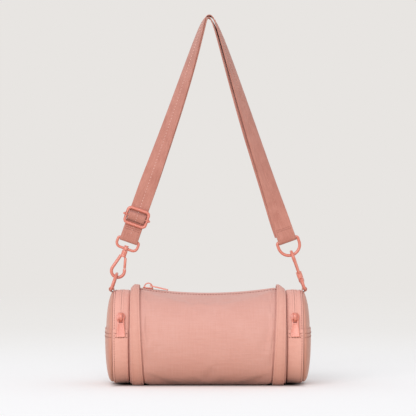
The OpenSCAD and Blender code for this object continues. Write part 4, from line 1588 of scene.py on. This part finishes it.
@dataclass
class AdjusterWebbing:
    """The webbing where it climbs over the adjuster's bar."""

    finishes: Finishes
    line: StrapLine
    at: float = 26 * MM
    width: float = 19.1 * MM
    thick: float = 1.5 * MM
    base_y: float = -3.85 * MM
    radius: float = 5.1 * MM
    half_turn: float = math.radians(86)
    steps: int = 24
    swell: float = 0.02
    bare: int = 3
    stitches: Sewing = Sewing(shown=1.5 * MM, pitch=3.0 * MM, thick=0.5 * MM, sunk_share=0.25)

    def build(self) -> None:
        """Build the hump and the stitches down its middle, which leave its ends bare."""
        line = self.line
        centre = line.foot(Side.LEFT, self.at) + Vector((0, self.base_y, 0))
        up, wide = line.up(Side.LEFT), line.across(Side.LEFT)
        reach = self.radius - self.thick / 2
        stations = []
        for i in range(self.steps + 1):
            turn = self.half_turn * (2 * i / self.steps - 1)
            swell = 1 + self.swell * math.sin(4 * turn)
            off = FRONT * math.cos(turn) + up * math.sin(turn)
            stations.append(Station(centre + off * reach * swell, wide, off))
        hump = sweep("adjuster_webbing_hump", stations, self.width, self.thick)
        dress(smooth(hump), self.finishes.webbing, Slot.WEBBING, "adjuster_webbing",
              body="adjuster")
        top = [s.moved(self.thick / 2).middle for s in stations[self.bare:-self.bare]]
        self.stitches.row("adjuster_stitches", top, hump, self.finishes.strap_thread,
                          Slot.WEBBING, "adjuster")


@dataclass
class Tab:
    """A cloth loop sewn into an end's seam, round the bar at the bag's corner."""

    finishes: Finishes
    side: Side
    line: StrapLine
    wire: float
    thick: float = 0.9 * MM
    width: float = 17 * MM
    gap: float = 0.3 * MM
    legs: tuple[Pair, Pair] = ((7.1 * MM, 0.495 * MM), (4.2 * MM, 0.72 * MM))
    lean: float = math.radians(35)
    loop_from: float = math.radians(48)
    loop_turn: float = math.radians(264)
    steps: int = 18

    def build(self) -> None:
        """Build the loop as a folded strip."""
        centre = Vector((self.side.value * self.line.bar_x, 0, self.line.bar_z))
        down = Vector((-self.side.value * math.sin(self.lean), 0, -math.cos(self.lean)))
        across = Vector((down.z, 0, -down.x))
        reach = self.wire / 2 + self.gap + self.thick / 2
        route = [(centre + down * low + across * off, across) for low, off in self.legs]
        for i in range(self.steps + 1):
            turn = self.loop_from + self.loop_turn * i / self.steps
            off = down * math.cos(turn) + across * math.sin(turn)
            route.append((centre + off * reach, off))
        route += [(centre + down * low - across * off, -across)
                  for low, off in reversed(self.legs)]
        stations = [Station(point, Vector((0, 1, 0)), off) for point, off in route]
        loop = sweep(self.side.named("tab_loop"), stations, self.width, self.thick)
        dress(smooth(loop), self.finishes.trim, Slot.TRIM, self.side.named("tab"))


# Metal


HARDWARE_NODES = (
    "main_slider", "main_pull", "left_slider", "left_pull", "right_slider", "right_pull",
    "bag_ring", "left_eye", "left_hook", "left_gate", "left_rivet",
    "right_eye", "right_hook", "right_gate", "right_rivet", "strap_ring",
    "adjuster_frame", "adjuster_bar",
)
CAST_EDGE = {"width": 0.22 * MM, "segments": 2, "limit_method": "ANGLE",
             "angle_limit": math.radians(40), "harden_normals": True}


def paint_hardware(finishes: Finishes) -> None:
    """Paint every metal node and ease its cast edges."""
    for name in HARDWARE_NODES:
        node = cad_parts[name]
        node.data.materials.clear()
        node.data.materials.append(finishes.metal)
        node.data.polygons.foreach_set("use_smooth", [True] * len(node.data.polygons))
        node.modifiers.new("weld", "WELD").merge_threshold = WELD
        edge = node.modifiers.new("cast_edge", "BEVEL")
        for key, value in CAST_EDGE.items():
            setattr(edge, key, value)
        LOG.info("%s: painted", name)


# Studio


@dataclass(frozen=True)
class Studio:
    """A pale floor that runs into a plain backdrop, soft lamps and the photograph's camera."""

    backdrop: str = "#E8E5E2"
    floor_near: str = "#F7F7F9"
    floor_far: str = "#ECEAE8"
    # Painted shadow under the bag: the next two colours are the floor's seen colour and its bounce
    # colour in the patch that under gives, darkened where the bag's shade falls.
    floor_painted_shadow: str = "#4A4340"
    bounce_painted_shade: str = "#A39A94"
    under: tuple[Pair, Pair] = ((90 * MM, 108 * MM), (14 * MM, 48 * MM))
    floor_size: float = 16
    middle_y: float = -0.2
    far_to: float = 1.5
    fade: Pair = (0.55, 3.6)
    bounce: str = "#F9F1DF"
    bounce_share: float = 0.85
    room_strength: float = 0.77
    sun_strength: float = 1.57
    sun_elevation: float = math.radians(25)
    sun_azimuth: float = math.radians(-14)
    sun_softness: float = math.radians(50)
    lamp_place: Vector = field(default_factory=lambda: Vector((-0.8, -1.6, 1.2)))
    lamp_aim: Vector = field(default_factory=lambda: Vector((0, 0, 0.08)))
    lamp_power: float = 3
    lamp_size: float = 1.0
    camera_back: float = 2.4
    camera_z: float = 0.192
    lens: float = 189.9

    def shown(self, nodes: Nodes) -> Socket:
        """Return whether a ray comes from the camera or shows the backdrop in gloss or glass."""
        path = add_node(nodes.tree, "ShaderNodeLightPath").outputs
        plain = nodes.math("MAXIMUM", path["Is Camera Ray"], path["Is Glossy Ray"])
        return nodes.math("MAXIMUM", plain, path["Is Transmission Ray"])

    def floor(self) -> None:
        """Build the floor, which fades out far off and has a painted shadow where the bag rests on
        it: a dark patch that the camera sees and a darker bounce colour there.
        """
        put_down()
        bpy.ops.mesh.primitive_plane_add(size=self.floor_size, location=(0, 0, 0))
        floor = bpy.context.active_object
        floor.name = "studio_floor"
        material = new_material("matt_floor")
        nodes = Nodes(material.node_tree)
        spot = nodes.spot()
        parts = nodes.parts(spot)
        from_middle = nodes.out("ShaderNodeVectorMath", {
            0: spot, 1: (0, self.middle_y, 0)}, "Value", operation="DISTANCE")
        far = nodes.ramp(from_middle, 0.0, self.far_to, curve="SMOOTHSTEP")
        # Mask of the painted shadow: 0 in the patch under the bag, 1 on the open floor.
        outside_painted_shadow = nodes.math("MAXIMUM", *(
            nodes.ramp(nodes.math("ABSOLUTE", parts[axis]), *ends, curve="SMOOTHSTEP")
            for axis, ends in enumerate(self.under)))
        open_floor = nodes.mix(far, self.floor_near, self.floor_far)
        # The camera sees the painted shadow there, and the bag's bounce light comes off a darker
        # patch there as painted shade.
        seen = nodes.mix(outside_painted_shadow, self.floor_painted_shadow, open_floor)
        dim = nodes.mix(self.bounce_share, "#000000", self.bounce)
        lit = nodes.mix(outside_painted_shadow, self.bounce_painted_shade, dim)
        colour = nodes.mix(self.shown(nodes), lit, seen)
        mixed = nodes.out("ShaderNodeMixShader", {
            0: nodes.ramp(from_middle, *self.fade, curve="SMOOTHERSTEP"),
            1: nodes.out("ShaderNodeBsdfDiffuse", {"Color": colour}),
            2: nodes.out("ShaderNodeBsdfTransparent")})
        add_node(nodes.tree, "ShaderNodeOutputMaterial", {"Surface": mixed})
        floor.data.materials.append(material)

    def world(self) -> None:
        """Light the room evenly and show the plain backdrop to the camera."""
        world = bpy.data.worlds.new("studio_room")
        bpy.context.scene.world = world
        world.use_nodes = True
        nodes = Nodes(world.node_tree)
        light = nodes.out("ShaderNodeBackground", {
            "Color": (1, 1, 1, 1), "Strength": self.room_strength})
        wall = nodes.out("ShaderNodeBackground", {
            "Color": linear(self.backdrop), "Strength": 1.0})
        mixed = nodes.out("ShaderNodeMixShader", {0: self.shown(nodes), 1: light, 2: wall})
        add_node(nodes.tree, "ShaderNodeOutputWorld", {"Surface": mixed})

    def sun(self) -> None:
        """Add a level light from far off, soft-edged, that lights the whole floor alike."""
        put_down()
        bpy.ops.object.light_add(type="SUN", location=(0, -2, 2))
        sun = bpy.context.active_object
        sun.name = "front_light"
        sun.data.energy = self.sun_strength
        sun.data.angle = self.sun_softness
        sun.rotation_euler = (math.pi / 2 - self.sun_elevation, 0, self.sun_azimuth)

    def lamp(self) -> None:
        """Add a square soft lamp that points at the bag."""
        put_down()
        bpy.ops.object.light_add(type="AREA", location=self.lamp_place)
        lamp = bpy.context.active_object
        lamp.name = "key_lamp"
        lamp.data.energy = self.lamp_power
        lamp.data.size = self.lamp_size
        lamp.rotation_mode = "QUATERNION"
        lamp.rotation_quaternion = (self.lamp_aim - self.lamp_place).to_track_quat("-Z", "Y")

    def camera(self) -> None:
        """Set the camera level in front of the bag, as in the photograph."""
        put_down()
        bpy.ops.object.camera_add(location=(0, -self.camera_back, self.camera_z),
                                  rotation=(math.pi / 2, 0, 0))
        camera = bpy.context.active_object
        camera.name = "studio_camera"
        camera.data.lens = self.lens
        camera.data.sensor_width = 36
        camera.data.clip_end = 60
        bpy.context.scene.camera = camera

    def build(self) -> None:
        """Build the studio."""
        bpy.context.scene.view_settings.view_transform = "Standard"
        self.camera()
        self.floor()
        self.world()
        self.sun()
        self.lamp()


def main() -> None:
    """Build the bag, from the studio to the strap."""
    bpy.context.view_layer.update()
    Studio().build()
    finishes = Finishes()
    barrel = BarrelForm()
    MainRoom(barrel, finishes).build()
    build_main_zip(barrel, finishes)
    ends = EndForm()
    for side in Side:
        Band(barrel, finishes, side).build()
        EndPocket(ends, finishes, side).build()
        build_end_zip(ends, side, finishes)
    line = StrapLine()
    Tab(finishes, Side.LEFT, line, wire=3.3 * MM).build()
    Tab(finishes, Side.RIGHT, line, wire=3.0 * MM).build()
    Strap(finishes, line).build()
    AdjusterWebbing(finishes, line).build()
    paint_hardware(finishes)


if __name__ == "__main__":
    main()
